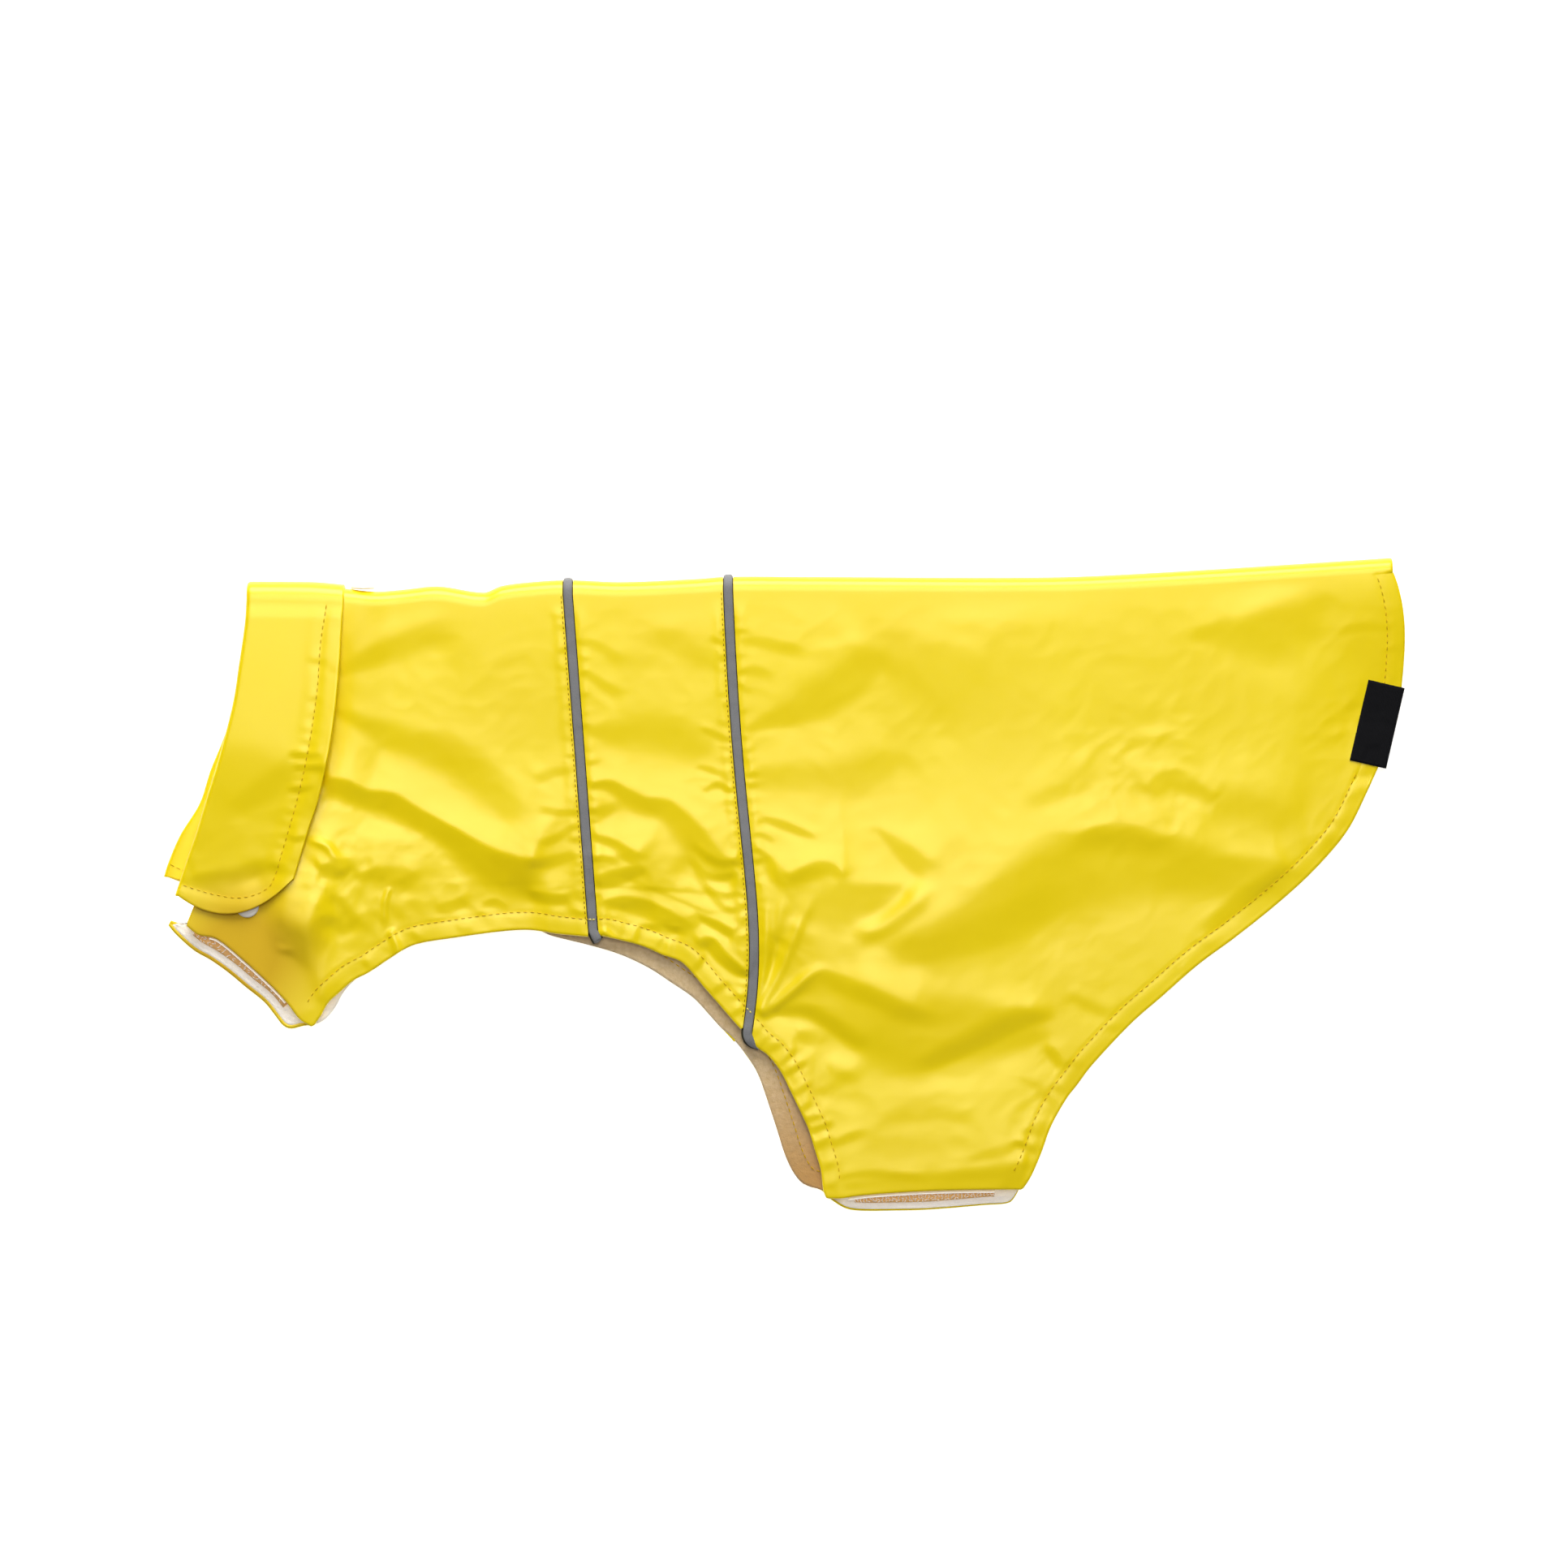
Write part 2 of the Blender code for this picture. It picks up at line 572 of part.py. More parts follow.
def make_label():
    """Woven label: half a loop that holds the tail hem from outside and inside."""
    over = SHELL_WALL + LABEL_GAP
    under = LINING_LIFT - LINING_WALL - LABEL_GAP
    path = [(-LABEL_OUTSIDE, over), (-LABEL_OUTSIDE / 2, over), (LABEL_GAP, over)]
    for angle in (pi / 4, pi / 2, 3 * pi / 4):
        path.append((LABEL_GAP + LABEL_TURN * sin(angle),
                     (over + under) / 2 + (over - under) / 2 * cos(angle)))
    path += [(LABEL_GAP, under), (-LABEL_INSIDE / 2, under), (-LABEL_INSIDE, under)]
    low_x, low_y = hem_point("near", LABEL_FROM)
    high_x, high_y = hem_point("near", LABEL_TO)
    length = hypot(high_x - low_x, high_y - low_y)
    out_x, out_y = (high_y - low_y) / length, (low_x - high_x) / length

    def label_point(place, spine_x):
        reach, lift = place
        hem_x, hem_y = hem_point("near", spine_x)
        share = ((hem_x - low_x) * (high_x - low_x)
                 + (hem_y - low_y) * (high_y - low_y)) / length ** 2
        follow = 1 + min(reach, 0.0) / LABEL_OUTSIDE
        x = low_x + share * (high_x - low_x)
        y = low_y + share * (high_y - low_y)
        x += (hem_x - x) * follow + out_x * reach
        y += (hem_y - y) * follow + out_y * reach
        return on_half("near", x, y, lift)

    columns = [LABEL_FROM + (LABEL_TO - LABEL_FROM) * step / LABEL_STEPS
               for step in range(LABEL_STEPS + 1)]
    cloth("label", label_point, path, columns, LABEL_WALL, True, BLACK, 0.8)


def main():
    for old in list(bpy.data.objects):
        bpy.data.objects.remove(old)
    collection = bpy.data.collections.new("dog_raincoat")
    bpy.context.scene.collection.children.link(collection)
    make_shells()
    make_lining()
    make_pipings()
    make_collar()
    make_tapes()
    make_snaps()
    make_label()


main()
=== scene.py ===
"""Looks of the dog raincoat: yellow nylon over fleece, lying on its side, folded along the back.

The plan is in millimetres, X from neck to tail and Y from the belly up to the folded back, and
a mesh is scaled to metres where it is made. Every piece is placed through the coat's surface:
a plan point of the near half (on top), of the far half (under it) or an angle round the fold,
and a lift outward from the body's inner face, as in the part's own source. Two rasters of the
plan hold the heights of the near half's and the far half's creases.
"""

import bmesh
import bpy
import numpy as np
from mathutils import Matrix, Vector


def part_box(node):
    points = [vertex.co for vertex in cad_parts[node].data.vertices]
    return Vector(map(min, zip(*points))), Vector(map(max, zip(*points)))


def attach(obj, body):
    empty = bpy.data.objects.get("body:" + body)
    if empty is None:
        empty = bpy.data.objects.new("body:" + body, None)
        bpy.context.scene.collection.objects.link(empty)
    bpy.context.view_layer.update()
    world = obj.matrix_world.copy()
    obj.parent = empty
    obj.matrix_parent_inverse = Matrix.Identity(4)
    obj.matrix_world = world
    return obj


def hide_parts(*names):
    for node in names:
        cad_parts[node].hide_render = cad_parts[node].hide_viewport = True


MM = 0.001
NEAR, FOLD, FAR = 0, 1, 2

# Walls, levels and the fold, as in the part
OUTER_LIFT = 1.0
LINING_LIFT = -1.5
HALVES_APART = 5.9
FOLD_RADIUS = 5.5
# 1 is a round fold, less is a squarer one
FOLD_SQUARE = 0.85
# Rise of the fold's flat top toward its outer edge
FOLD_TILT = 0.05
FOLD_HOLLOW = 2 * FOLD_RADIUS - HALVES_APART
HOLLOW_REACH = 60.0
COLLAR_RAISE = 1.7
RAISE_ENDS = (5.0, 24.0)
TAPE_LIFT = -1.8
TAPE_HALF_WALL = 0.3
TAPE_ROUND = 0.25
TAPE_RIB = 0.05
TAPE_WIDTH = 20.0
# How far a near tape's outer edge turns up past its hem
TAPE_CURL = 2.4
HOOK_ROW_PITCH, HOOK_PITCH, HOOK_THICK = 0.95, 1.25, 0.17

# Mesh pitches of the cloths: between columns at the hem, and between rows of the near and of
# the far half. The rear panel is coarser, so that it stays under 200,000 triangles.
NYLON_PITCHES = (1.05, 1.05, 2.2)
REAR_PITCHES = (1.45, 1.25, 3.3)
LINING_PITCHES = (2.0, 2.0, 2.0)
# Length of the longest column, which the rear panel and the lining share
LONGEST_COLUMN = 265.0
RASTER_PITCH = 0.5
RASTER = (-275.0, -148.0, 275.0, 148.0)

# Hems, and the topstitching inside them
RIM_REACH = 1.2
# 1 is a round rim, less is a squarer one
RIM_SQUARE = 0.7
RIM_TUCK, RIM_TUCK_LIFT = 0.5, 0.35
STITCH_INSET = 7.8
STITCH_PITCH, STITCH_LENGTH = 3.0, 2.3
# Radii of the threads of the topstitching, of the seams and across the pipings
THREAD, SEAM_THREAD, CROSSING_THREAD = 0.24, 0.21, 0.32
# Rise and share of the thickness of a stitch's thread at places along it
STITCH_RISE = (-0.16, 0.06, 0.12, 0.06, -0.16)
STITCH_THICK = (0.05, 0.85, 1.0, 0.85, 0.05)
PIPING_STITCH_PITCH, PIPING_STITCH_LENGTH = 2.2, 1.5
CROSSING_PITCH = 1.75
SEAM_STITCH_INSET = 2.9
# How far stitches stand off the seams' cloth and off the lining
SEAM_STITCH_OFF, LINING_STITCH_OFF = 0.06, 0.45
# Where the near hem's stitches are hidden: right of an x, between two heights of the plan
UNDER_LABEL = (243.0, 52.0, 86.0)
COLLAR_STITCH_INSET = 8.8
# How far the far half's outer stitches sit in its cloth, so that it rests flat
FAR_SUNK = 0.2
# How far the near hem's band falls from its stitching outward
HEM_FALL = 0.36
HEM_FALL_ENDS = (1.0, -11.0)
HEM_PATH_PITCH = 1.5
# How cloth is drawn in along its stitching, with a swell beside it
# depth, width, swell, swell_at, swell_width
GROOVES = {
    "hem": (0.10, 1.0, 0.04, -3.4, 1.7),
    "seam": (0.45, 1.9, 0.25, 5.0, 2.0),
    "leaf": (0.22, 1.3, 0.08, 4.0, 2.0),
}
# Where the far half's dents lie, from the near half's facets
FAR_SHIFT = (9.0, -6.0)

SEAM_HALF_GAP = 2.25
SEAM_DRAW = 14.0
SEAMS = (-93.0, -24.0)
NECK, TAIL = -220.0, 262.3

# Near hem from the neck to the tail: the back's x where a column starts, and the hem's point
# at its foot
# spine_x, x, y
NEAR_HEM = (
    (-220.0, -257.1, -18.2), (-217.0, -252.6, -21.6), (-210.5, -244.2, -23.7),
    (-202.2, -232.3, -33.3), (-194.5, -221.4, -43.4), (-189.2, -214.1, -51.2),
    (-186.6, -208.7, -58.2), (-184.7, -203.2, -61.7), (-181.0, -199.7, -56.9),
    (-176.5, -196.6, -51.3), (-171.5, -191.6, -46.6), (-166.0, -185.7, -41.5),
    (-159.0, -178.7, -37.8), (-151.0, -170.3, -32.2), (-144.4, -163.3, -27.8),
    (-139.0, -157.1, -25.4), (-129.5, -142.7, -23.1), (-116.5, -122.0, -20.3),
    (-108.5, -109.4, -19.7), (-100.5, -96.6, -21.5), (-93.0, -82.0, -22.9), (-90.5, -78.6, -22.2),
    (-80.0, -68.1, -24.6), (-72.0, -60.2, -26.9), (-64.0, -52.3, -30.4), (-55.0, -44.6, -33.2),
    (-51.5, -40.9, -36.6), (-43.0, -33.4, -45.6), (-35.0, -26.2, -53.6), (-24.0, -15.9, -64.8),
    (-19.5, -11.8, -69.6), (-14.0, -6.6, -73.7), (-6.5, -1.3, -80.9), (2.0, 2.9, -89.3),
    (10.0, 7.1, -98.0), (17.5, 10.6, -105.7), (24.3, 13.1, -113.9), (30.0, 15.8, -122.9),
    (36.5, 16.9, -131.6), (40.0, 18.3, -135.6), (46.0, 24.6, -135.5), (53.0, 31.9, -134.4),
    (62.0, 43.2, -133.4), (77.5, 62.1, -132.3), (94.0, 80.6, -131.8), (114.2, 103.0, -131.7),
    (118.0, 106.5, -126.4), (126.0, 111.1, -115.9), (134.5, 115.5, -104.0), (142.5, 121.9, -92.6),
    (148.5, 126.6, -86.5), (155.0, 133.1, -77.9), (168.5, 150.3, -59.6), (177.5, 162.9, -48.6),
    (189.0, 179.0, -34.5), (199.5, 194.9, -22.8), (214.0, 214.7, -6.9), (227.0, 230.8, 8.3),
    (238.5, 243.5, 23.7), (247.2, 252.0, 40.6), (254.2, 258.8, 56.0), (259.0, 264.0, 70.2),
    (262.3, 266.5, 84.0),
)
# Far hem, in the same way
FAR_HEM = (
    (-220.0, -266.6, -16.8), (-217.0, -262.7, -21.4), (-211.5, -254.9, -28.4),
    (-206.5, -247.3, -32.8), (-202.0, -239.6, -38.3), (-197.5, -232.3, -44.4),
    (-192.0, -224.2, -51.0), (-188.5, -219.4, -57.0), (-186.6, -216.4, -60.8),
    (-184.7, -213.0, -62.3), (-181.5, -207.6, -61.2), (-178.0, -202.2, -61.0),
    (-174.5, -197.3, -57.6), (-171.0, -193.1, -52.3), (-168.0, -190.5, -47.2),
    (-163.0, -184.7, -40.9), (-151.0, -170.1, -31.6), (-144.4, -163.1, -27.3),
    (-129.5, -142.7, -22.7), (-118.2, -124.5, -20.2), (-108.5, -107.4, -19.8),
    (-102.0, -100.0, -22.4), (-93.0, -84.6, -26.2), (-81.0, -70.9, -30.3), (-68.0, -58.3, -36.2),
    (-58.0, -48.5, -42.6), (-49.0, -39.1, -49.1), (-42.0, -32.8, -55.8), (-35.0, -27.4, -61.8),
    (-27.0, -20.9, -68.0), (-19.5, -15.3, -75.3), (-12.0, -11.1, -82.4), (-0.5, -5.8, -97.6),
    (9.0, -2.7, -107.1), (17.5, 0.1, -116.0), (26.0, 3.6, -123.7), (30.0, 7.3, -128.6),
    (33.0, 11.2, -130.8), (36.5, 16.0, -132.4), (40.0, 20.1, -136.0), (46.0, 26.4, -139.9),
    (51.0, 32.4, -141.0), (64.0, 47.0, -141.0), (77.0, 62.1, -140.6), (99.0, 86.9, -138.6),
    (109.5, 97.2, -137.6), (114.2, 100.2, -134.6), (118.0, 103.0, -128.8), (131.0, 111.0, -112.0),
    (147.8, 124.6, -87.6), (168.5, 149.2, -59.0), (192.3, 183.2, -30.4), (214.0, 212.9, -6.9),
    (233.9, 237.4, 17.4), (247.2, 250.6, 40.8), (256.5, 260.6, 63.0), (262.3, 265.1, 84.0),
)
# The folded back seen from above
# x, y
SPINE = (
    (-270.0, 127.9), (-205.0, 127.9), (-189.2, 126.7), (-176.6, 125.4), (-164.0, 126.3),
    (-149.0, 127.7), (-129.4, 125.1), (-121.7, 127.9), (-107.3, 129.7), (-93.0, 130.4),
    (-69.9, 129.6), (-38.0, 130.9), (-24.0, 131.9), (12.0, 131.8), (113.5, 131.6),
    (162.5, 133.7), (262.3, 140.0),
)
# Columns at the sharp corners of each half's hem, and how far from one an inset line is mitred
HEM_CORNERS = {NEAR: (-184.7, 40.0, 114.2), FAR: ()}
CORNER_REACH = 16.0
# The far neck edge is cut back between the collar's end and the tab's tip
FAR_NOTCH = (13.0, -11.0)
# Sideways bow of the columns
# spine_x, near_bow, near_skew, far_bow, far_skew
BOWS = (
    (-220.0, 6.7, 1.0, 12.0, 3.6), (-184.7, 0.0, 1.0, 0.0, 3.6), (-93.0, 0.0, 1.8, 0.0, 1.8),
    (-24.0, 4.8, 2.5, 2.0, 2.5), (60.0, 0.0, 1.8, 0.0, 1.8), (192.3, 0.0, 0.9, 0.0, 0.9),
    (262.3, 3.4, 0.8, 3.4, 0.8),
)
# Collar cross lines from the folded back down
# seam_y, fold_x, fold_y, edge_x, edge_y
COLLAR_NEAR = (
    (122.4, -231.2, 122.4, -189.2, 121.5), (112.0, -231.9, 112.0, -190.0, 111.5),
    (94.5, -234.4, 94.5, -191.0, 94.5), (77.0, -237.2, 77.0, -192.7, 76.0),
    (57.5, -243.1, 54.3, -195.5, 57.0), (37.5, -248.7, 36.4, -200.1, 36.8),
    (22.0, -253.0, 22.5, -204.0, 25.0), (9.0, -257.6, 9.5, -207.8, 12.5),
    (-2.5, -262.4, -4.9, -210.9, 2.1),
)
COLLAR_FAR = (
    (122.4, -231.2, 122.4, -189.2, 121.5), (112.0, -231.9, 112.0, -190.0, 111.5),
    (94.5, -234.4, 94.5, -191.0, 94.5), (77.0, -237.2, 77.0, -192.7, 76.0),
    (61.0, -242.6, 62.0, -196.0, 61.0), (48.0, -247.9, 49.0, -199.0, 47.0),
    (34.0, -252.5, 35.0, -203.0, 33.0), (20.0, -260.8, 21.5, -207.0, 19.0),
    (7.5, -266.0, 9.5, -210.0, 8.0), (-1.0, -268.0, 3.2, -212.0, 1.0),
)
COLLAR_END_SAG = {NEAR: 11.0, FAR: 5.0}
SAG_STARTS = 0.75

# Facets of the near half that tilt toward -Y, dark in a light from the back: a middle line with
# its high side on the left and the half width along it, its steepness (rise over run), how soft
# its upper and lower edges are (in half widths), and the shares over which it fades in and out
CRISP, FIRM, SOFT = 0.2, 0.4, 0.8
# ((x, y, half_width), ...), steepness, (upper, lower), (fade_in, fade_out)
FACETS = (
    # front panel
    (((-193, 90, 1.5), (-182, 96, 3.5), (-168, 102, 5), (-152, 109, 6.5), (-136, 114, 7)),
     0.08, (SOFT, SOFT), (0.02, 0.3)),
    (((-194, 75, 1.5), (-184, 71, 3), (-172, 65, 5), (-158, 60, 6.5), (-144, 54, 7.5),
      (-131, 45, 8), (-120, 35, 7), (-109, 25, 5)), 0.10, (SOFT, SOFT), (0.02, 0.12)),
    (((-199, 42, 4.5), (-190, 41, 4.5), (-180, 36.5, 4.5), (-170, 34.5, 5.5), (-160, 29, 5),
      (-150, 24, 4.5), (-141, 18, 5.5), (-132, 11, 7), (-122, 5.5, 8.5), (-112, 2, 9.5),
      (-100, 1, 9)), 0.24, (CRISP, SOFT), (0.03, 0.1)),
    (((-112, -4, 2), (-103, -6, 2.5), (-92, -6.5, 2)), 0.20, (CRISP, FIRM), (0.2, 0.05)),
    (((-112, 9, 2.5), (-100, 10, 2.5), (-90, 13, 2)), 0.12, (CRISP, FIRM), (0.2, 0.05)),
    (((-107, 17, 1.5), (-98, 20, 1.8), (-89, 26, 1.5)), 0.12, (FIRM, FIRM), (0.2, 0.05)),
    (((-108, 33, 2), (-97, 31, 1.6), (-89, 31, 1.4)), 0.10, (FIRM, FIRM), (0.3, 0.05)),
    (((-110, 44, 2.5), (-100, 48, 2.2), (-92, 49, 1.5)), 0.08, (SOFT, FIRM), (0.3, 0.05)),
    (((-184, 2, 2), (-174, 4, 4), (-164, 2, 5.5), (-155, -3, 5)), 0.15, (FIRM, SOFT), (0.1, 0.3)),
    (((-201, 6, 2.5), (-194, 6, 3), (-189, 3, 1.5)), 0.24, (CRISP, SOFT), (0.1, 0.2)),
    (((-151, -11, 2), (-142, -9, 2.5), (-133, -5, 2)), 0.15, (FIRM, FIRM), (0.2, 0.3)),
    (((-131, -9, 1), (-125, -8, 2), (-118, -11, 1)), 0.20, (CRISP, FIRM), (0.2, 0.2)),
    (((-195, -3, 2), (-188, -12, 3), (-181, -22, 2.5)), 0.16, (FIRM, SOFT), (0.2, 0.2)),
    (((-203, -17, 2), (-195, -16, 3), (-187, -21, 2)), 0.15, (CRISP, SOFT), (0.2, 0.2)),
    (((-178, -8, 3), (-168, -12, 4), (-158, -9, 3)), 0.10, (SOFT, SOFT), (0.3, 0.3)),
    # chest tab
    (((-266, -8, 9), (-250, -15, 11), (-236, -22, 13), (-222, -28, 15), (-208, -32, 15),
      (-198, -34, 10)), 0.26, (FIRM, FIRM), (0.02, 0.15)),
    (((-214, -12, 3), (-209, -27, 4), (-204, -42, 4), (-202, -54, 3)), 0.13, (SOFT, SOFT),
     (0.15, 0.1)),
    (((-233, -28, 1.5), (-222, -38, 2), (-212, -46, 1.5)), 0.12, (FIRM, FIRM), (0.2, 0.2)),
    # middle panel
    (((-86, 66, 1), (-78, 65.5, 4), (-68, 65, 6.5), (-58, 65.5, 7.5), (-48, 64, 8),
      (-38, 60, 6.5), (-28, 58, 3)), 0.07, (SOFT, SOFT), (0.02, 0.1)),
    (((-86, 105, 1.5), (-77, 101, 2.5), (-67, 92, 3)), 0.07, (FIRM, SOFT), (0.05, 0.4)),
    (((-87, 92, 1.5), (-78, 86, 2), (-67, 79, 3)), 0.08, (FIRM, SOFT), (0.05, 0.4)),
    (((-62, 108, 4), (-46, 104, 5), (-34, 98, 5), (-26, 96, 3)), 0.05, (SOFT, SOFT), (0.3, 0.1)),
    (((-84, 41, 1), (-79, 43, 2), (-74, 42, 3), (-68, 37.5, 4), (-60, 34, 4), (-52, 32.5, 4.5),
      (-46, 28, 5.5), (-39, 20, 6.5), (-33, 12, 6.5), (-26, 7, 5), (-19, 5, 4)), 0.18,
     (FIRM, SOFT), (0.02, 0.05)),
    (((-41, 19, 1.5), (-33, 12, 1.8), (-26, 9, 1.6), (-18, 12, 1.2)), 0.14, (CRISP, FIRM),
     (0.3, 0.05)),
    (((-43, 14, 1.5), (-34, 4, 1.8), (-26, 3, 1.5), (-18, 5, 1.2)), 0.14, (CRISP, FIRM),
     (0.3, 0.05)),
    (((-42, 8, 1.5), (-33, -1, 1.8), (-26, -5, 1.5), (-18, -3, 1.2)), 0.14, (CRISP, FIRM),
     (0.3, 0.05)),
    (((-36, 1, 1.5), (-30, -6, 1.6), (-24, -11, 1.5), (-17, -11, 1.2)), 0.14, (CRISP, FIRM),
     (0.3, 0.05)),
    (((-84, 30, 2), (-77, 32, 3), (-70, 35, 2)), 0.12, (SOFT, FIRM), (0.05, 0.3)),
    (((-72, 2, 8), (-60, 2, 10), (-48, -3, 9)), 0.08, (SOFT, SOFT), (0.3, 0.3)),
    (((-84, 22, 1), (-76, 18, 2.5), (-69, 14, 3), (-59, 9, 3)), 0.18, (FIRM, FIRM), (0.05, 0.2)),
    (((-82, 1, 3), (-74, 2.5, 3.5), (-66, 5, 3), (-58, 7, 1.5)), 0.20, (FIRM, FIRM),
     (0.05, 0.15)),
    (((-79, -9, 1.5), (-70, -8, 3), (-62, -10, 4), (-54, -13, 4), (-46, -17, 3.5),
      (-38, -21, 3)), 0.21, (CRISP, FIRM), (0.1, 0.15)),
    (((-60, -18, 1.2), (-52, -19, 1.8), (-43, -20, 1.6)), 0.20, (CRISP, FIRM), (0.1, 0.2)),
    (((-37, -14, 1), (-30, -17, 2), (-21, -22, 2)), 0.24, (CRISP, FIRM), (0.1, 0.1)),
    (((-38, -27, 1.6), (-32, -25.5, 3), (-27, -31, 2.8), (-21, -36, 2.4), (-15, -39, 2)), 0.28,
     (CRISP, FIRM), (0.1, 0.05)),
    (((-35, 40, 0.8), (-29, 43, 1.6), (-22, 40, 1.2)), 0.18, (CRISP, FIRM), (0.1, 0.1)),
    (((-38, 51, 1), (-30, 49, 1.4), (-22, 45, 1.2)), 0.12, (FIRM, FIRM), (0.1, 0.1)),
    (((-37, 68, 1), (-30, 65, 1.6), (-22, 61, 1.2)), 0.12, (FIRM, FIRM), (0.2, 0.1)),
    # rear panel, upper half
    (((-20, 105, 1), (-10, 104.5, 2.5), (0, 102, 3), (13, 99, 2)), 0.07, (FIRM, SOFT),
     (0.02, 0.3)),
    (((-19, 92, 1), (-12, 92, 2.5), (-3, 88, 2)), 0.07, (FIRM, SOFT), (0.02, 0.4)),
    (((-19, 85, 1), (-11, 82, 1.5)), 0.08, (FIRM, FIRM), (0.02, 0.5)),
    (((-17, 66, 1), (-8, 70, 3), (2, 74, 6), (14, 80, 8.5), (26, 88, 9.5), (36, 97, 8),
      (43, 104, 4)), 0.075, (SOFT, FIRM), (0.02, 0.12)),
    (((36, 109, 2), (46, 102, 8), (58, 93, 14), (76, 82, 18), (96, 72, 18)), 0.03,
     (FIRM, SOFT), (0.1, 0.4)),
    (((-15, 46, 4.5), (0, 46.5, 5.5), (14, 46, 6.5), (28, 46, 8), (40, 51, 8.5), (51, 60, 5)),
     0.065, (SOFT, SOFT), (0.02, 0.12)),
    (((-13, 26, 1), (-8, 28, 1.5), (0, 25.5, 2.2), (8, 22.5, 2), (15, 20, 1)), 0.14,
     (CRISP, FIRM), (0.05, 0.1)),
    (((-12, 22, 1), (-8, 21, 1.5), (-4, 18, 1)), 0.12, (FIRM, FIRM), (0.1, 0.2)),
    (((-13, 15, 0.8), (-9, 13, 1.6), (-6, 7, 2.6), (-5, 0, 3)), 0.17, (FIRM, SOFT), (0.05, 0.3)),
    (((1, 1.5, 2), (8, 4.5, 3.2), (15, 6.8, 3.6), (21, 6.5, 3), (25, 2, 2)), 0.15,
     (CRISP, SOFT), (0.1, 0.1)),
    (((-2, -6, 7), (10, -4, 11), (24, -8, 12), (36, -7, 8), (46, -4, 5), (53, 0, 1.5)), 0.10,
     (FIRM, FIRM), (0.1, 0.05)),
    (((-9, -22, 8), (6, -28, 12), (22, -30, 9), (38, -33, 5)), 0.09, (SOFT, SOFT), (0.1, 0.2)),
    (((39, 25, 0.8), (45, 20, 2.5), (52, 14, 4.5), (59, 8, 5), (66, 2, 4)), 0.12,
     (FIRM, CRISP), (0.05, 0.25)),
    (((98, 32, 3), (112, 38, 4), (124, 44, 5), (138, 54, 5)), 0.05, (SOFT, SOFT), (0.3, 0.3)),
    (((144, 61, 2), (156, 60, 3), (166, 60, 4), (178, 55, 4)), 0.05, (CRISP, SOFT), (0.2, 0.3)),
    (((156, 38, 3), (163, 43, 5), (170, 44.5, 5.5), (177, 41, 4), (187, 36, 2)), 0.10,
     (CRISP, SOFT), (0.15, 0.1)),
    (((178, 36, 5), (195, 33, 9), (210, 30, 9), (224, 27, 5)), 0.07, (SOFT, SOFT), (0.2, 0.2)),
    (((172, 107, 2), (186, 108, 5), (198, 107, 8), (210, 109, 11), (221, 115, 12),
      (229, 123, 7), (234, 128, 3)), 0.07, (FIRM, SOFT), (0.1, 0.06)),
    (((237, 108, 1), (246, 110.5, 2), (254, 111, 2), (263, 110, 1)), 0.06, (FIRM, SOFT),
     (0.2, 0.05)),
    (((257, 101, 0.8), (267, 101.5, 1)), 0.14, (CRISP, FIRM), (0.3, 0.05)),
    (((238, 76, 5), (246, 76, 6), (252, 80, 5)), 0.06, (SOFT, SOFT), (0.4, 0.1)),
    # rear panel, the broad band and the valley under it
    (((38, -31, 4), (52, -29, 7), (66, -25, 10), (80, -19, 12), (95, -11, 15), (110, -3, 17),
      (125, 4, 18), (140, 9, 16), (155, 10, 14), (170, 8, 12), (188, 4, 10), (205, 2, 10),
      (226, 3, 8)), 0.11, (FIRM, SOFT), (0.08, 0.08)),
    (((48, -44, 9), (70, -42, 12), (95, -36, 12), (120, -30, 9)), 0.08, (SOFT, SOFT),
     (0.25, 0.3)),
    (((46, -31, 4), (60, -27, 7), (76, -22, 8), (92, -17, 9), (108, -10, 9), (124, -3, 8)),
     0.05, (SOFT, FIRM), (0.15, 0.25)),
    (((118, 17, 3), (132, 19, 5), (146, 21, 6), (160, 18, 5), (176, 14, 4)), 0.07,
     (CRISP, SOFT), (0.2, 0.3)),
    (((-12, -57.5, 0.8), (-4, -54, 3), (6, -51.5, 7), (16, -51, 12), (28, -55, 15),
      (42, -62, 16), (56, -66, 16.5), (72, -65, 15), (88, -63, 13), (103, -62, 9),
      (118, -60, 4)), 0.13, (FIRM, FIRM), (0.02, 0.08)),
    (((-11, -57, 0.8), (0, -50.5, 1.8), (10, -43.5, 2.6), (17, -40, 3), (26, -43.5, 4),
      (40, -49.5, 4), (55, -56, 4), (73, -60.5, 2.5)), 0.10, (CRISP, SOFT), (0.02, 0.2)),
    (((-6, -55, 1), (8, -54, 2.5), (18, -58.5, 3), (27, -65, 3.5), (39, -72, 3)), 0.14,
     (SOFT, FIRM), (0.05, 0.2)),
    (((55, -80, 2), (66, -75, 4), (78, -69, 4.5), (92, -62, 5), (106, -56.5, 4),
      (119, -56, 2)), 0.12, (SOFT, FIRM), (0.15, 0.1)),
    (((4, -65, 2), (11, -66, 3.5), (15, -70, 2)), 0.14, (FIRM, FIRM), (0.2, 0.2)),
    (((20, -89, 2), (25, -84, 3), (31, -81, 2)), 0.08, (SOFT, SOFT), (0.3, 0.3)),
    (((112, -70, 1), (116, -73, 2.5), (120, -79, 2)), 0.17, (FIRM, CRISP), (0.1, 0.1)),
    (((103, -83, 1), (109, -87, 1.6), (114, -88, 1)), 0.09, (FIRM, FIRM), (0.3, 0.2)),
    (((121, -47, 2), (131, -52, 2.6), (143, -57, 2)), 0.12, (SOFT, SOFT), (0.2, 0.2)),
    (((178, -22, 3), (200, -6, 4), (220, 9, 3)), 0.12, (SOFT, SOFT), (0.2, 0.1)),
    # belly tab
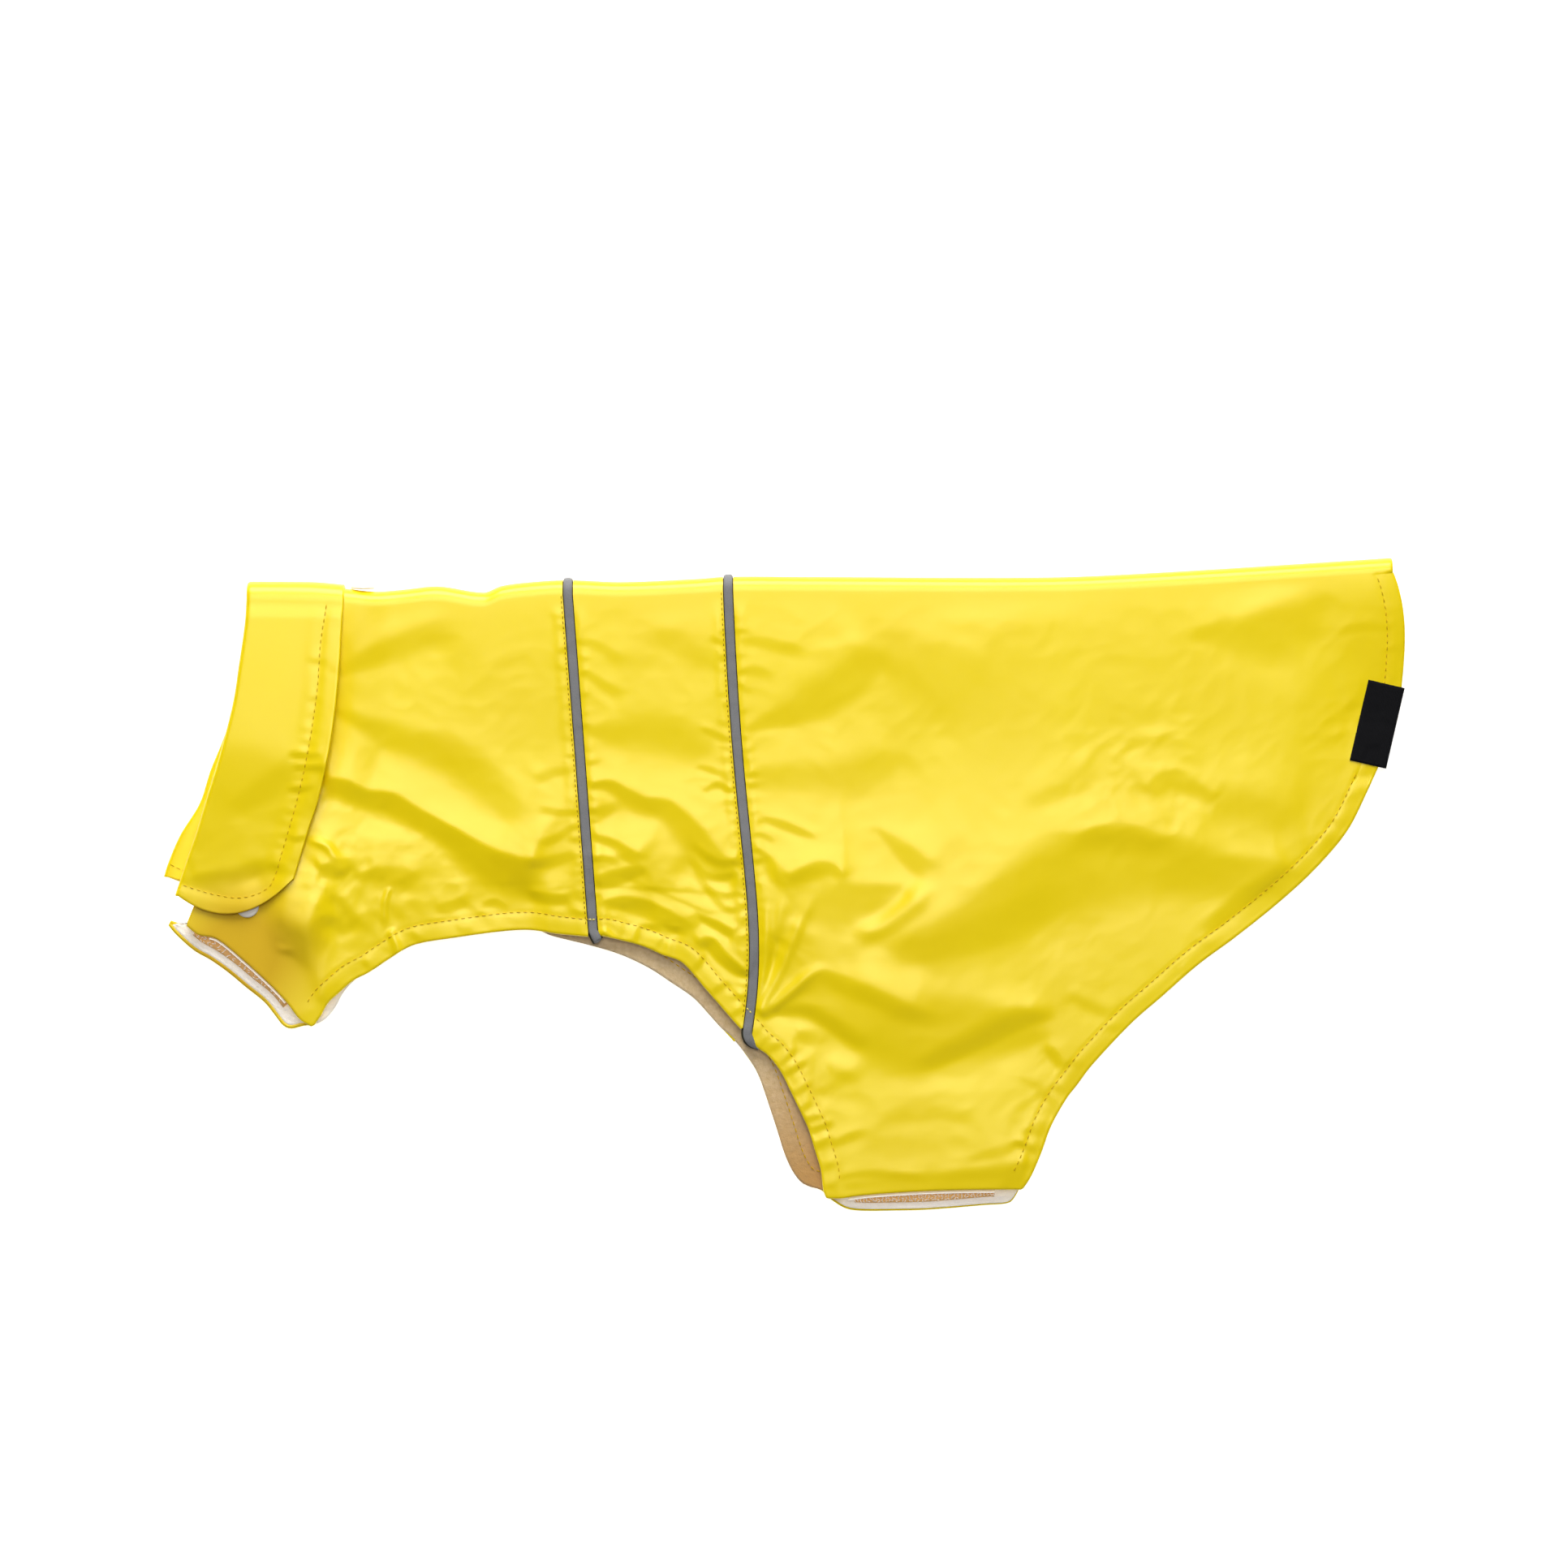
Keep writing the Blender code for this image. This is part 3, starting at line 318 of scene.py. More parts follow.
    (((22, -126.5, 1), (36, -125, 1.6), (48, -125.6, 1.6), (62, -127, 1.2)), 0.16,
     (CRISP, FIRM), (0.1, 0.3)),
    (((22, -130, 1.5), (50, -129, 3), (80, -127.5, 4.5), (106, -126, 5)), 0.17, (SOFT, SOFT),
     (0.1, 0.05)),
    (((76, -119.5, 1), (88, -116.5, 2.2), (98, -113.5, 2.2), (107, -110, 1.5)), 0.08,
     (FIRM, FIRM), (0.2, 0.1)),
    (((12, -114.5, 1), (20, -112.6, 1.2), (30, -108.5, 2), (40, -106, 1.5)), 0.22,
     (CRISP, FIRM), (0.05, 0.4)),
    (((40, -100, 3), (60, -98, 4), (84, -100, 3)), 0.04, (SOFT, SOFT), (0.3, 0.3)),
)
# Ridges, or troughs where the height is below zero: a middle line, the half widths at its two
# ends, the height, and the shares over which it fades in and out
# ((x, y), ...), (first_width, last_width), height, (fade_in, fade_out)
RIDGES = (
    (((-206, 20), (-197, 17), (-193, 12), (-186, 11)), (1.6, 1.8), 0.8, (0.2, 0.4)),
    (((-170, -1), (-172, -8), (-172, -19)), (1.0, 1.2), 0.6, (0.1, 0.3)),
    (((-170, -19), (-167, -26), (-165, -33)), (1.6, 1.4), 0.8, (0.1, 0.1)),
    (((-219, -27), (-215, -28), (-211, -28)), (1.6, 1.4), 0.45, (0.3, 0.3)),
    (((-85, 13), (-76, 13), (-68, 10)), (3.0, 2.6), 0.7, (0.2, 0.4)),
    (((-79, -19), (-75, -22), (-72, -27)), (1.3, 1.3), 0.9, (0.2, 0.2)),
    (((-12, -55), (-8, -36), (-7, -12), (-3, 8)), (1.4, 2.4), 0.7, (0.05, 0.5)),
    (((-11, -56), (-1, -36), (8, -14), (18, 2)), (1.4, 3.0), 0.7, (0.05, 0.5)),
    (((-10, -57), (2, -47), (12, -38), (22, -34)), (1.4, 2.6), 0.6, (0.05, 0.4)),
    (((-12, -54), (-4, -30), (3, -6)), (1.2, 2.0), -0.5, (0.05, 0.5)),
    (((28, -21), (42, -18), (54, -9), (66, 2)), (4.0, 5.0), 0.9, (0.2, 0.3)),
    (((16, -76), (26, -78), (36, -83)), (6.0, 6.0), 0.5, (0.3, 0.4)),
)
# Where the cloth is crumpled
# x, y, reach, strength
CRUMPLES = (
    (-182, 0, 34, 0.9), (-135, -8, 26, 0.7), (-226, -28, 24, 0.7), (-50, -14, 26, 0.5),
    (-4, -24, 20, 0.6), (10, -96, 20, 0.6), (112, -100, 18, 0.7), (150, 42, 44, 0.4),
    (240, 68, 18, 0.5), (236, 14, 18, 0.5), (60, -112, 40, 0.3),
)
CRUMPLE_EVERYWHERE = 0.16
# Sizes and heights of their ridges, and how far and over what size these are bent sideways
CRUMPLE_SIZES = ((20, 0.5), (11, 0.38), (6, 0.19))
CRUMPLE_BEND, CRUMPLE_BEND_SIZE = 6, 30
# Places across a facet, in half widths, and how far the cloth takes to level off beside it
FACET_REACH = 9.0
FACET_PLACES = np.linspace(-FACET_REACH, FACET_REACH, 721)
FACET_TAIL = 2.5
# Share of the facets' steepness that is used
FACET_RISE = 0.93
# The near half falls from the fold over this reach, and its middle stands off by the loft
FALL_REACH = 125.0
FALL_START = 22.0
LOFT = 1.1
# Creases die out over this reach from the fold, the loft over this reach from the hem, and both
# this far under the collar's leaf
FOLD_CALM, HEM_CALM, COLLAR_UNDER = 14.0, 50.0, -16.0
# Creases sink no lower than these, over the tapes and elsewhere, with some room to give
TAPE_FLOOR, OPEN_FLOOR, FLOOR_ROOM = -0.05, -1.0, 0.9
# Highest dents of the far half, and its crumples' share and seed
FAR_DENT, FAR_CRUMPLE, FAR_SEED = 0.35, 0.1, 5
# Puckers along the seams, on one side of each stretch of a seam
# seam, side, y_from, y_to, spacing, length, steepness
SEAM_PUCKERS = (
    (0, -1, 116, 60, 7.5, 7, 0.16), (0, -1, 60, 12, 5.0, 6, 0.17), (0, -1, 12, -14, 4.2, 8, 0.23),
    (0, 1, 108, 40, 8.0, 6, 0.14), (0, 1, 40, -12, 5.0, 6, 0.18),
    (1, -1, 112, 60, 6.5, 6, 0.18), (1, -1, 60, -50, 4.2, 7, 0.22),
    (1, 1, 116, 60, 8.5, 6, 0.16), (1, 1, 60, -16, 5.4, 6, 0.17),
)
# Puckers across the near hem, between two columns
# spine_from, spine_to, spacing, length, steepness
HEM_PUCKERS = (
    (-182, -100, 14, 7, 0.2), (-88, -28, 8, 9, 0.3), (-20, 38, 4.6, 10, 0.36),
    (118, 146, 4.4, 10, 0.3), (148, 236, 14, 7, 0.14), (238, 262, 6.0, 8, 0.2),
)
# Facets of the collar's near leaf, in the same way
LEAF_FACETS = (
    (((-255, 2.5, 2), (-244, 2.5, 3.5), (-236, 3, 4), (-227, 7, 3.5), (-218, 7, 2.5),
      (-212, 5, 1)), 0.17, (SOFT, FIRM), (0.05, 0.1)),
    (((-241, 30, 3), (-228, 38, 5), (-216, 47, 5), (-208, 52, 3)), 0.08, (SOFT, SOFT),
     (0.2, 0.1)),
    (((-214, 56.5, 0.8), (-207, 55.5, 1.3), (-199, 55.5, 0.8)), 0.34, (FIRM, FIRM), (0.2, 0.1)),
    (((-212, 51, 0.8), (-206, 50.3, 1.3), (-196, 50, 0.8)), 0.34, (FIRM, FIRM), (0.2, 0.1)),
    (((-214, 41.3, 0.8), (-208, 41, 1.2), (-202, 42, 0.8)), 0.22, (FIRM, FIRM), (0.2, 0.1)),
    (((-214, 20, 0.8), (-209, 19.6, 1.2), (-204, 21, 0.8)), 0.24, (FIRM, FIRM), (0.2, 0.1)),
)
LEAF_LOFT = 0.5
LEAF_CRUMPLE, LEAF_SEED = 0.25, 40
# The leaf stays level down to its crest, which lies higher toward the neck, then falls to its
# lower end
LEAF_CREST, LEAF_TENT, LEAF_FOOT = 57.0, 5.0, 2.0
LEAF_CREST_SLOPE = 0.15
# Share of the way from foot to crest over which the crest is rounded
LEAF_CREST_ROUND = 0.10
LEAF_PUCKERS = (96, 80, 73, 66, 61, 46, 41, 36, 31, 26, 21, 16.5, 12, 8)

LINING_INSET = 2.0
# How far the pile stands past the lining's inner face, and its clumps' height, size and seed
FLEECE_FULL = 0.1
FLEECE_PILE = ((0.12, 3.0, 21), (0.1, 7.0, 22))
# How far inside the far hem the cloth and the lining end before their edges turn: the lining
# comes right out in the arch and nearly out along the belly's tape
# spine_x, inset
SHELL_FAR_INSETS = ((-182.0, 1.2), (-175.0, 2.2), (31.0, 2.2), (39.0, 1.2))
LINING_FAR_INSETS = ((-182.0, 2.3), (-175.0, 1.0), (31.0, 1.0), (40.0, 1.5), (112.0, 1.2),
                     (118.0, 1.0), (130.0, 2.0))
COLLAR_MIDDLE = 1.0
COLLAR_HALF_WALL = 0.6
COLLAR_TURN_LIFT = 1.1
# How far the stand runs on past the neck's edge
STAND_TUCK = 0.3
# Rows of the collar's rounded lower end, as distances from it, and its rounding in half walls
COLLAR_END_START = 3.2
COLLAR_END_ROWS = (2.4, 1.6, 1.0, 0.6, 0.3, 0.1, 0.0)
COLLAR_END_ROUND = 1.5
EDGE_YS = [row[4] for row in reversed(COLLAR_NEAR)]
EDGE_XS = [row[3] for row in reversed(COLLAR_NEAR)]
# Stitching of the near leaf, down beside its free edge and along its lower end
COLLAR_STITCH_NEAR = (
    (-196.5, 121), (-199.2, 103), (-200.3, 86), (-202.4, 70), (-204.8, 56), (-208.4, 40),
    (-212.3, 26), (-216.2, 13), (-218.2, 6), (-221.4, -0.6), (-228, -4.4), (-236, -5.6),
    (-245, -4.2), (-253, -2.0), (-260, 0.4),
)
# Stitching across what shows of the far end
COLLAR_STITCH_FAR = ((-265.4, 9.0), (-262.4, 7.4), (-259.0, 6.0), (-252.0, 4.6))
SNAP_CHEST = (-231.2, -9.1)
# radius, height
SNAP_PROFILE = ((5.1, -0.3), (5.1, 0.5), (4.95, 0.85), (4.6, 1.1), (3.9, 1.25), (3.0, 1.4),
                (2.2, 1.5), (1.7, 1.5), (1.3, 1.38), (0.8, 1.25), (0.0, 1.2))
# How far the leaf stands off over the snap, and within what reach
SNAP_LIFT = 1.3
SNAP_LIFT_REACH = 9.0
# The label's two corners on the hem, and how far it reaches in over and under the hem
LABEL_EDGE = ((267.0, 84.9), (259.0, 50.2))
LABEL_OVER, LABEL_UNDER = 15.4, 10.0
LABEL_HALF_WALL = 0.22
# How far it stands off the outer and the inner face, and how far round the hem's edge
LABEL_OFF_OUTER, LABEL_OFF_INNER, LABEL_OFF_EDGE = 0.45, 0.6, 0.7
PIPING_HALF_WIDTH = 2.0
PIPING_FLANGE = 2.7
PIPING_PROUD = 1.0
# How deep its root lies in the cloth, and how far its near end sinks
PIPING_ROOT, PIPING_SINK = 0.6, 1.6
# Columns of its mesh on each side that are painted seam shadow, in a dark material
PIPING_EDGE = 3
# Near ends of the pipings: the front one just past the hem, the rear one curled along it
PIPING_ENDS = (
    ((-79.6, -24.6), (-80.6, -23.2)),
    ((-10.9, -70.9), (-12.6, -69.6), (-14.6, -67.2), (-15.6, -64.6)),
)
PIPING_ROUND = (3.0, 12.0)
# Tapes: half, the columns they span, how far each stands past its hem, and how much of the
# far one shows past the near one
# name, half, spine_from, spine_to, outset, show
TAPES = (
    ("tape_chest_near", NEAR, -213.0, -189.5, 1.0, 0.0),
    ("tape_chest_far", FAR, -214.0, -189.0, -5.0, 4.6),
    ("tape_belly_near", NEAR, 49.0, 103.5, 1.3, 0.0),
    ("tape_belly_far", FAR, 49.0, 103.0, -3.7, 3.8),
)
# Stretches of hem that are topstitched, between two columns: none along the taped ends
HEM_STITCHES = ((-183.5, 38.6), (115.6, 252.0), (252.0, TAIL))

# Middle lines of the tapes, where nothing sinks
TAPE_LINES = (((-247.0, -22.0), (-214.0, -51.0)), ((25.0, -130.0), (100.0, -130.0)))

# Middle of the painted shade under the collar's near end, a deeper, more orange yellow, in metres
CHEST_SHADE = (-0.234, -0.030, 0.009)
YELLOW, YELLOW_DEEP = (1.0, 0.757, 0.001), (0.985, 0.730, 0.0005)
# Painted shade: the deeper, more orange yellow mixed in round CHEST_SHADE
YELLOW_SHADED = (0.70, 0.40, 0.0)
# Painted shade of the fleece, deeper orange with bounce from the nylon, toward the arch's lower end
FLEECE_SHADED = (0.52, 0.27, 0.06)
# Pairs of close colours
# The fleece's tan is painted shade of its white along the arch
FLEECE_PAINTED_SHADE = ((0.60, 0.42, 0.20), (0.73, 0.55, 0.31))
FLEECE_WHITE = ((0.95, 0.88, 0.78), (1.0, 0.96, 0.90))
PIPING_GREY = ((0.17, 0.17, 0.175), (0.26, 0.26, 0.265))
LABEL_BLACK = ((0.003, 0.003, 0.004), (0.010, 0.010, 0.012))

# Stage: lamps aimed at the middle of the coat, and the camera, in metres and watts
# name, place, size, power
LAMPS = (("key", (-0.1, 1.62, 1.02), 1.4, 39.5), ("top", (0.0, 0.95, 3.55), 2.0, 50.0),
         ("fill", (0.7, -1.6, 1.8), 2.0, 1.2))
WORLD_STRENGTH = 0.04
CAMERA_AT = (0.0001, 0.0434, 2.825)
CAMERA_LENS, CAMERA_SENSOR = 150.0, 36.0


def smoothstep(low, high, value):
    """0 below low, 1 above high, smooth between."""
    part = np.clip((value - low) / (high - low), 0.0, 1.0)
    return part * part * (3 - 2 * part)


def through(knots, values, places, corners=()):
    """Values at places of the smooth curve through the knots, broken where corners is true."""
    xs, ys = np.asarray(knots, float), np.asarray(values, float)
    rise = np.diff(ys) / np.diff(xs)
    across = np.concatenate(([rise[0]], (ys[2:] - ys[:-2]) / (xs[2:] - xs[:-2]), [rise[-1]]))
    leave, arrive = across[:-1].copy(), across[1:].copy()
    if len(corners):
        leave[corners[:-1]] = rise[corners[:-1]]
        arrive[corners[1:]] = rise[corners[1:]]
    at = np.clip(np.searchsorted(xs, places, "right") - 1, 0, len(xs) - 2)
    span = xs[at + 1] - xs[at]
    u = (np.asarray(places, float) - xs[at]) / span
    return ((1 + 2 * u) * (1 - u) ** 2 * ys[at] + u * (1 - u) ** 2 * span * leave[at]
            + u * u * (3 - 2 * u) * ys[at + 1] + u * u * (u - 1) * span * arrive[at])


def column_of(table, index):
    """One column of a table, as an array."""
    return np.array([row[index] for row in table], float)


def spine_y(x):
    """Y of the folded back's inner face."""
    return through(column_of(SPINE, 0), column_of(SPINE, 1), x)


def hem_point(half, spine_x):
    """Plan point of the half's hem at the foot of a column."""
    table = NEAR_HEM if half == NEAR else FAR_HEM
    knots = column_of(table, 0)
    corners = np.isin(knots, HEM_CORNERS[half])
    return tuple(through(knots, column_of(table, axis), spine_x, corners) for axis in (1, 2))


def inside_hem(half, spine_x, inset):
    """Plan point a distance inside the hem, square to it and mitred at its corners."""
    spine_x = np.asarray(spine_x, float)
    step = 0.6
    low, high = np.maximum(spine_x - step, NECK), np.minimum(spine_x + step, TAIL)
    for corner in HEM_CORNERS[half]:
        low = np.where((spine_x >= corner) & (low < corner), corner, low)
        high = np.where((spine_x < corner) & (high > corner), corner - 1e-6, high)
    x0, y0 = hem_point(half, low)
    x1, y1 = hem_point(half, high)
    length = np.maximum(np.hypot(x1 - x0, y1 - y0), 1e-9)
    x, y = hem_point(half, spine_x)
    x, y = x - inset * (y1 - y0) / length, y + inset * (x1 - x0) / length
    for corner in HEM_CORNERS[half]:
        before, at, after = (np.array(hem_point(half, np.array(corner + shift)))
                             for shift in (-0.01, 0.0, 0.01))
        arrive = (at - before) / np.hypot(*(at - before))
        leave = (after - at) / np.hypot(*(after - at))
        square = np.array([-arrive[1] - leave[1], arrive[0] + leave[0]])
        mitre_x, mitre_y = at + inset * 2 * square / (square @ square)
        early = (spine_x < corner) & (spine_x > corner - CORNER_REACH)
        early &= (x - mitre_x) * arrive[0] + (y - mitre_y) * arrive[1] > 0
        late = (spine_x >= corner) & (spine_x < corner + CORNER_REACH)
        late &= (x - mitre_x) * leave[0] + (y - mitre_y) * leave[1] < 0
        x = np.where(early | late, mitre_x, x)
        y = np.where(early | late, mitre_y, y)
    return x, y


def bow(half, spine_x, along):
    """Sideways bow of a column at a place along it."""
    first = 1 if half == NEAR else 3
    widest = np.interp(spine_x, column_of(BOWS, 0), column_of(BOWS, first))
    skew = np.interp(spine_x, column_of(BOWS, 0), column_of(BOWS, first + 1))
    return widest * np.sin(np.pi * np.clip(along, 0.0, 1.0) ** skew)


def plan_point(half, spine_x, along, inset=0.0):
    """Plan point of a column at a place along it, 0 at the fold and 1 at an inset hem."""
    foot_x, foot_y = inside_hem(half, spine_x, inset)
    top_x = spine_x - inset * smoothstep(240.0, TAIL, spine_x)
    top_y = spine_y(spine_x) - FOLD_RADIUS
    x = top_x + (foot_x - top_x) * along + bow(half, spine_x, along)
    return x, top_y + (foot_y - top_y) * along


def past_collar(x, y):
    """How far a plan point lies toward the tail from the collar's free edge."""
    ys, xs = column_of(COLLAR_NEAR, 4)[::-1], column_of(COLLAR_NEAR, 3)[::-1]
    return x - through(ys, xs, np.clip(y, ys[0], ys[-1]))


def smooth_path(points, steps=5):
    """Points of the smooth curve through a few plan points."""
    knots = np.arange(len(points))
    places = np.linspace(0, len(points) - 1, (len(points) - 1) * steps + 1)
    return np.stack([through(knots, column_of(points, axis), places) for axis in (0, 1)], 1)


def from_path(x, y, path):
    """Distance of plan points from a path, above zero on its left, and their place along it."""
    best = np.full(x.shape, 1e9)
    signed, place, weights = (np.zeros(x.shape) for _ in range(3))
    lengths = np.hypot(*np.diff(path, axis=0).T)
    starts = np.concatenate(([0.0], np.cumsum(lengths)))
    for (x0, y0), (x1, y1), length, start in zip(path, path[1:], lengths, starts):
        if length < 1e-9:
            continue
        tx, ty = (x1 - x0) / length, (y1 - y0) / length
        reach = np.clip((x - x0) * tx + (y - y0) * ty, 0.0, length)
        away = np.hypot(x - x0 - tx * reach, y - y0 - ty * reach)
        side = np.where((y - y0) * tx - (x - x0) * ty < 0, -1.0, 1.0)
        nearer = away < best
        best = np.where(nearer, away, best)
        signed = np.where(nearer, away * side, signed)
        weight = (away * away + 1.0) ** -6
        place += weight * (start + reach) / starts[-1]
        weights += weight
    return signed, place / weights


def faded(place, fades):
    """1 along a crease, down to 0 at its ends."""
    return (smoothstep(0, max(fades[0], 0.01), place)
            * smoothstep(0, max(fades[1], 0.01), 1 - place))


def facet_profile(upper, lower):
    """Heights across a facet of slope 1, at FACET_PLACES, in half widths."""
    u = FACET_PLACES
    past_upper = smoothstep(1 - upper, 1 + upper, u)
    past_lower = 1 - smoothstep(-1 - lower, -1 + lower, u)
    tilted = (1 - past_upper) * (1 - past_lower)
    behind = past_upper * np.exp(-np.maximum(u - 1, 0) / FACET_TAIL)
    under = past_lower * np.exp(-np.maximum(-1 - u, 0) / FACET_TAIL)
    fall = tilted.sum()
    slope = tilted - fall / 2 * (behind / behind.sum() + under / under.sum())
    return np.cumsum(slope) * (u[1] - u[0])


class Raster:
    """Heights over the plan on a square grid, read back smoothly between its points."""

    def __init__(self):
        x0, y0, x1, y1 = RASTER
        self.xs = np.arange(x0, x1 + RASTER_PITCH, RASTER_PITCH)
        self.ys = np.arange(y0, y1 + RASTER_PITCH, RASTER_PITCH)
        self.x, self.y = np.meshgrid(self.xs, self.ys)
        self.height = np.zeros(self.x.shape)

    def window(self, path, reach):
        """The slices of the raster within reach of a path."""
        low, high = path.min(0) - reach, path.max(0) + reach
        columns = slice(*np.searchsorted(self.xs, (low[0], high[0])))
        rows = slice(*np.searchsorted(self.ys, (low[1], high[1])))
        return rows, columns

    def facet(self, points, steepness, softness, fades):
        """Adds one tilted facet, high on its left, with cloth rising and falling back to it."""
        path = smooth_path(points)
        half_widths = column_of(points, 2)
        window = self.window(path, FACET_REACH * half_widths.max())
        signed, place = from_path(self.x[window], self.y[window], path)
        knots = np.linspace(0, len(path) - 1, len(points)).astype(int)
        lengths = np.concatenate(([0.0], np.cumsum(np.hypot(*np.diff(path, axis=0).T))))
        half = np.interp(place, lengths[knots] / lengths[-1], half_widths)
        heights = facet_profile(*softness)
        rise = np.interp(signed / half, FACET_PLACES, heights) * FACET_RISE * steepness * half
        self.height[window] += rise * faded(place, fades)

    def ridge(self, points, widths, height, fades):
        """Adds one round ridge, or a trough where its height is below zero."""
        path = smooth_path(points)
        window = self.window(path, 3 * max(widths))
        signed, place = from_path(self.x[window], self.y[window], path)
        across = signed / (widths[0] + (widths[1] - widths[0]) * place)
        self.height[window] += height * np.exp(-across ** 2) * faded(place, fades)

    def soften(self):
        """Takes the edge off the creases, over about a millimetre."""
        for axis in (0, 1):
            for _ in range(2):
                self.height = (2 * self.height + np.roll(self.height, 1, axis)
                               + np.roll(self.height, -1, axis)) / 4

    def raised_by(self, other):
        """A raster with another's heights added."""
        both = Raster()
        both.height = self.height + other.height
        return both

    def read(self, x, y):
        """Height at plan points."""
        u = np.clip((x - self.xs[0]) / RASTER_PITCH, 0, len(self.xs) - 1.001)
        v = np.clip((y - self.ys[0]) / RASTER_PITCH, 0, len(self.ys) - 1.001)
        i, j = u.astype(int), v.astype(int)
        u, v = u - i, v - j
        h = self.height
        return ((h[j, i] * (1 - u) + h[j, i + 1] * u) * (1 - v)
                + (h[j + 1, i] * (1 - u) + h[j + 1, i + 1] * u) * v)


def gradient_noise(x, y, size, seed):
    """Smooth noise between about -0.7 and 0.7, with hills about size apart."""
    lattice = 64
    angles = np.random.default_rng(seed).uniform(0, 2 * np.pi, (lattice, lattice))
    u, v = x / size + 2 * lattice, y / size + 2 * lattice
    i, j = np.floor(u).astype(int), np.floor(v).astype(int)
    u, v = u - i, v - j

    def corner(di, dj):
        angle = angles[(i + di) % lattice, (j + dj) % lattice]
        return np.cos(angle) * (u - di) + np.sin(angle) * (v - dj)

    su, sv = smoothstep(0, 1, u), smoothstep(0, 1, v)
    low = corner(0, 0) * (1 - su) + corner(1, 0) * su
    high = corner(0, 1) * (1 - su) + corner(1, 1) * su
    return low * (1 - sv) + high * sv


def crumple(x, y, seed=3):
    """Small crisp ridges of crumpled nylon, about zero on average."""
    bent = CRUMPLE_BEND * gradient_noise(x, y, CRUMPLE_BEND_SIZE, seed + 1)
    total = np.zeros(x.shape)
    for size, height in CRUMPLE_SIZES:
        folded = np.abs(gradient_noise(x + bent, y - bent, size, seed + size))
        total += height * (0.35 - 2 * folded)
    return total


def seam_path(seam, half=NEAR):
    """Plan points of a piped seam from the fold to the hem."""
    return np.stack(plan_point(half, SEAMS[seam], np.linspace(0.0, 1.0, 60)), 1)


def hem_path(half, inset, spine_from=NECK, spine_to=TAIL):
    """Plan points of a line inside the hem, and on along the tail's edge up to the fold."""
    places = np.linspace(spine_from, spine_to, int((spine_to - spine_from) / HEM_PATH_PITCH))
    path = np.stack(inside_hem(half, places, inset), 1)
    if spine_to == TAIL:
        x, y = plan_point(half, TAIL, np.linspace(1.0, 0.0, 40))
        past_turn = y > path[-1, 1] + 1.0
        path = np.concatenate([path, np.stack([x - inset, y], 1)[past_turn]])
    return path


def add_puckers(raster, seed=11):
    """Short puckers on both sides of the piped seams and across the hems, all uneven."""
    draw = np.random.default_rng(seed)
    for seam, side, y_from, y_to, spacing, length, steepness in SEAM_PUCKERS:
        path = seam_path(seam)
        y = y_from - draw.uniform(0, spacing)
        while y > y_to:
            x = np.interp(-y, -path[:, 1], path[:, 0]) + side * 2.0
            reach = length * draw.uniform(0.6, 1.5)
            slant = draw.uniform(-0.35, 0.45)
            width = draw.uniform(0.8, 1.3)
            points = ((x, y, width * 0.8), (x + side * reach * 0.5, y + reach * 0.5 * slant, width),
                      (x + side * reach, y + reach * slant * draw.uniform(0.2, 1.2), width * 1.4))
            if side < 0:
                points = points[::-1]
            fades = (0.03, 0.8) if side > 0 else (0.8, 0.03)
            raster.facet(points, steepness * draw.uniform(0.4, 1.3), (FIRM, SOFT), fades)
            y -= spacing * draw.uniform(0.6, 1.45)
    for spine_from, spine_to, spacing, length, steepness in HEM_PUCKERS:
        place = spine_from + draw.uniform(0, spacing)
        while place < spine_to:
            reach = length * draw.uniform(0.7, 1.4)
            lean = draw.uniform(-2.5, 2.5)
            width = draw.uniform(0.9, 1.3)
            points = [(*inside_hem(NEAR, place + lean * share, inset), width)
                      for share, inset in ((0, 0.2), (0.4, reach * 0.5), (1, reach))]
            if points[-1][0] < points[0][0]:
                points = points[::-1]
            raster.facet(points, steepness * draw.uniform(0.4, 1.3), (FIRM, SOFT), (0.1, 0.4))
            place += spacing * draw.uniform(0.6, 1.5)


def hem_distance(raster, half, reach=17.0):
    """Distance of the raster's points from a half's hem, no more than the reach."""
    path = hem_path(half, 0.0)
    nearest = np.full(raster.x.shape, reach)
    for start in range(0, len(path) - 1, 12):
        piece = path[start:start + 13]
        window = raster.window(piece, reach)
        away = np.abs(from_path(raster.x[window], raster.y[window], piece)[0])
        nearest[window] = np.minimum(nearest[window], away)
    return nearest


def softly_above(height, floor, room):
    """Height, bent so that below the floor it sinks by no more than the room."""
    under = np.minimum(height - floor, 0.0)
    return np.maximum(height, floor) - room * (1 - np.exp(under / room))


def drawn_in(away, groove):
    """How deep cloth is drawn in at distances from a line of stitching, by a row of GROOVES."""
    depth, width, swell, swell_at, swell_width = GROOVES[groove]
    return (depth * np.exp(-(away / width) ** 2)
            - swell * np.exp(-((away - swell_at) / swell_width) ** 2))


def sink_stitches(raster, half, sign):
    """Draws the cloth in along the topstitching, and lets the near hem fall outside it."""
    for low, high in HEM_STITCHES:
        path = hem_path(half, STITCH_INSET, low, high)[::2]
        window = raster.window(path, 9.0)
        signed = from_path(raster.x[window], raster.y[window], path)[0]
        raster.height[window] += sign * drawn_in(signed, "hem")
        if half == NEAR:
            raster.height[window] -= HEM_FALL * smoothstep(*HEM_FALL_ENDS, signed)


def fallen(down):
    """How much of its fall from the fold the near half has made, at once from the fold."""
    before = smoothstep(-FALL_START, FALL_REACH, 0.0)
    return np.maximum(smoothstep(-FALL_START, FALL_REACH, down) - before, 0.0) / (1 - before)


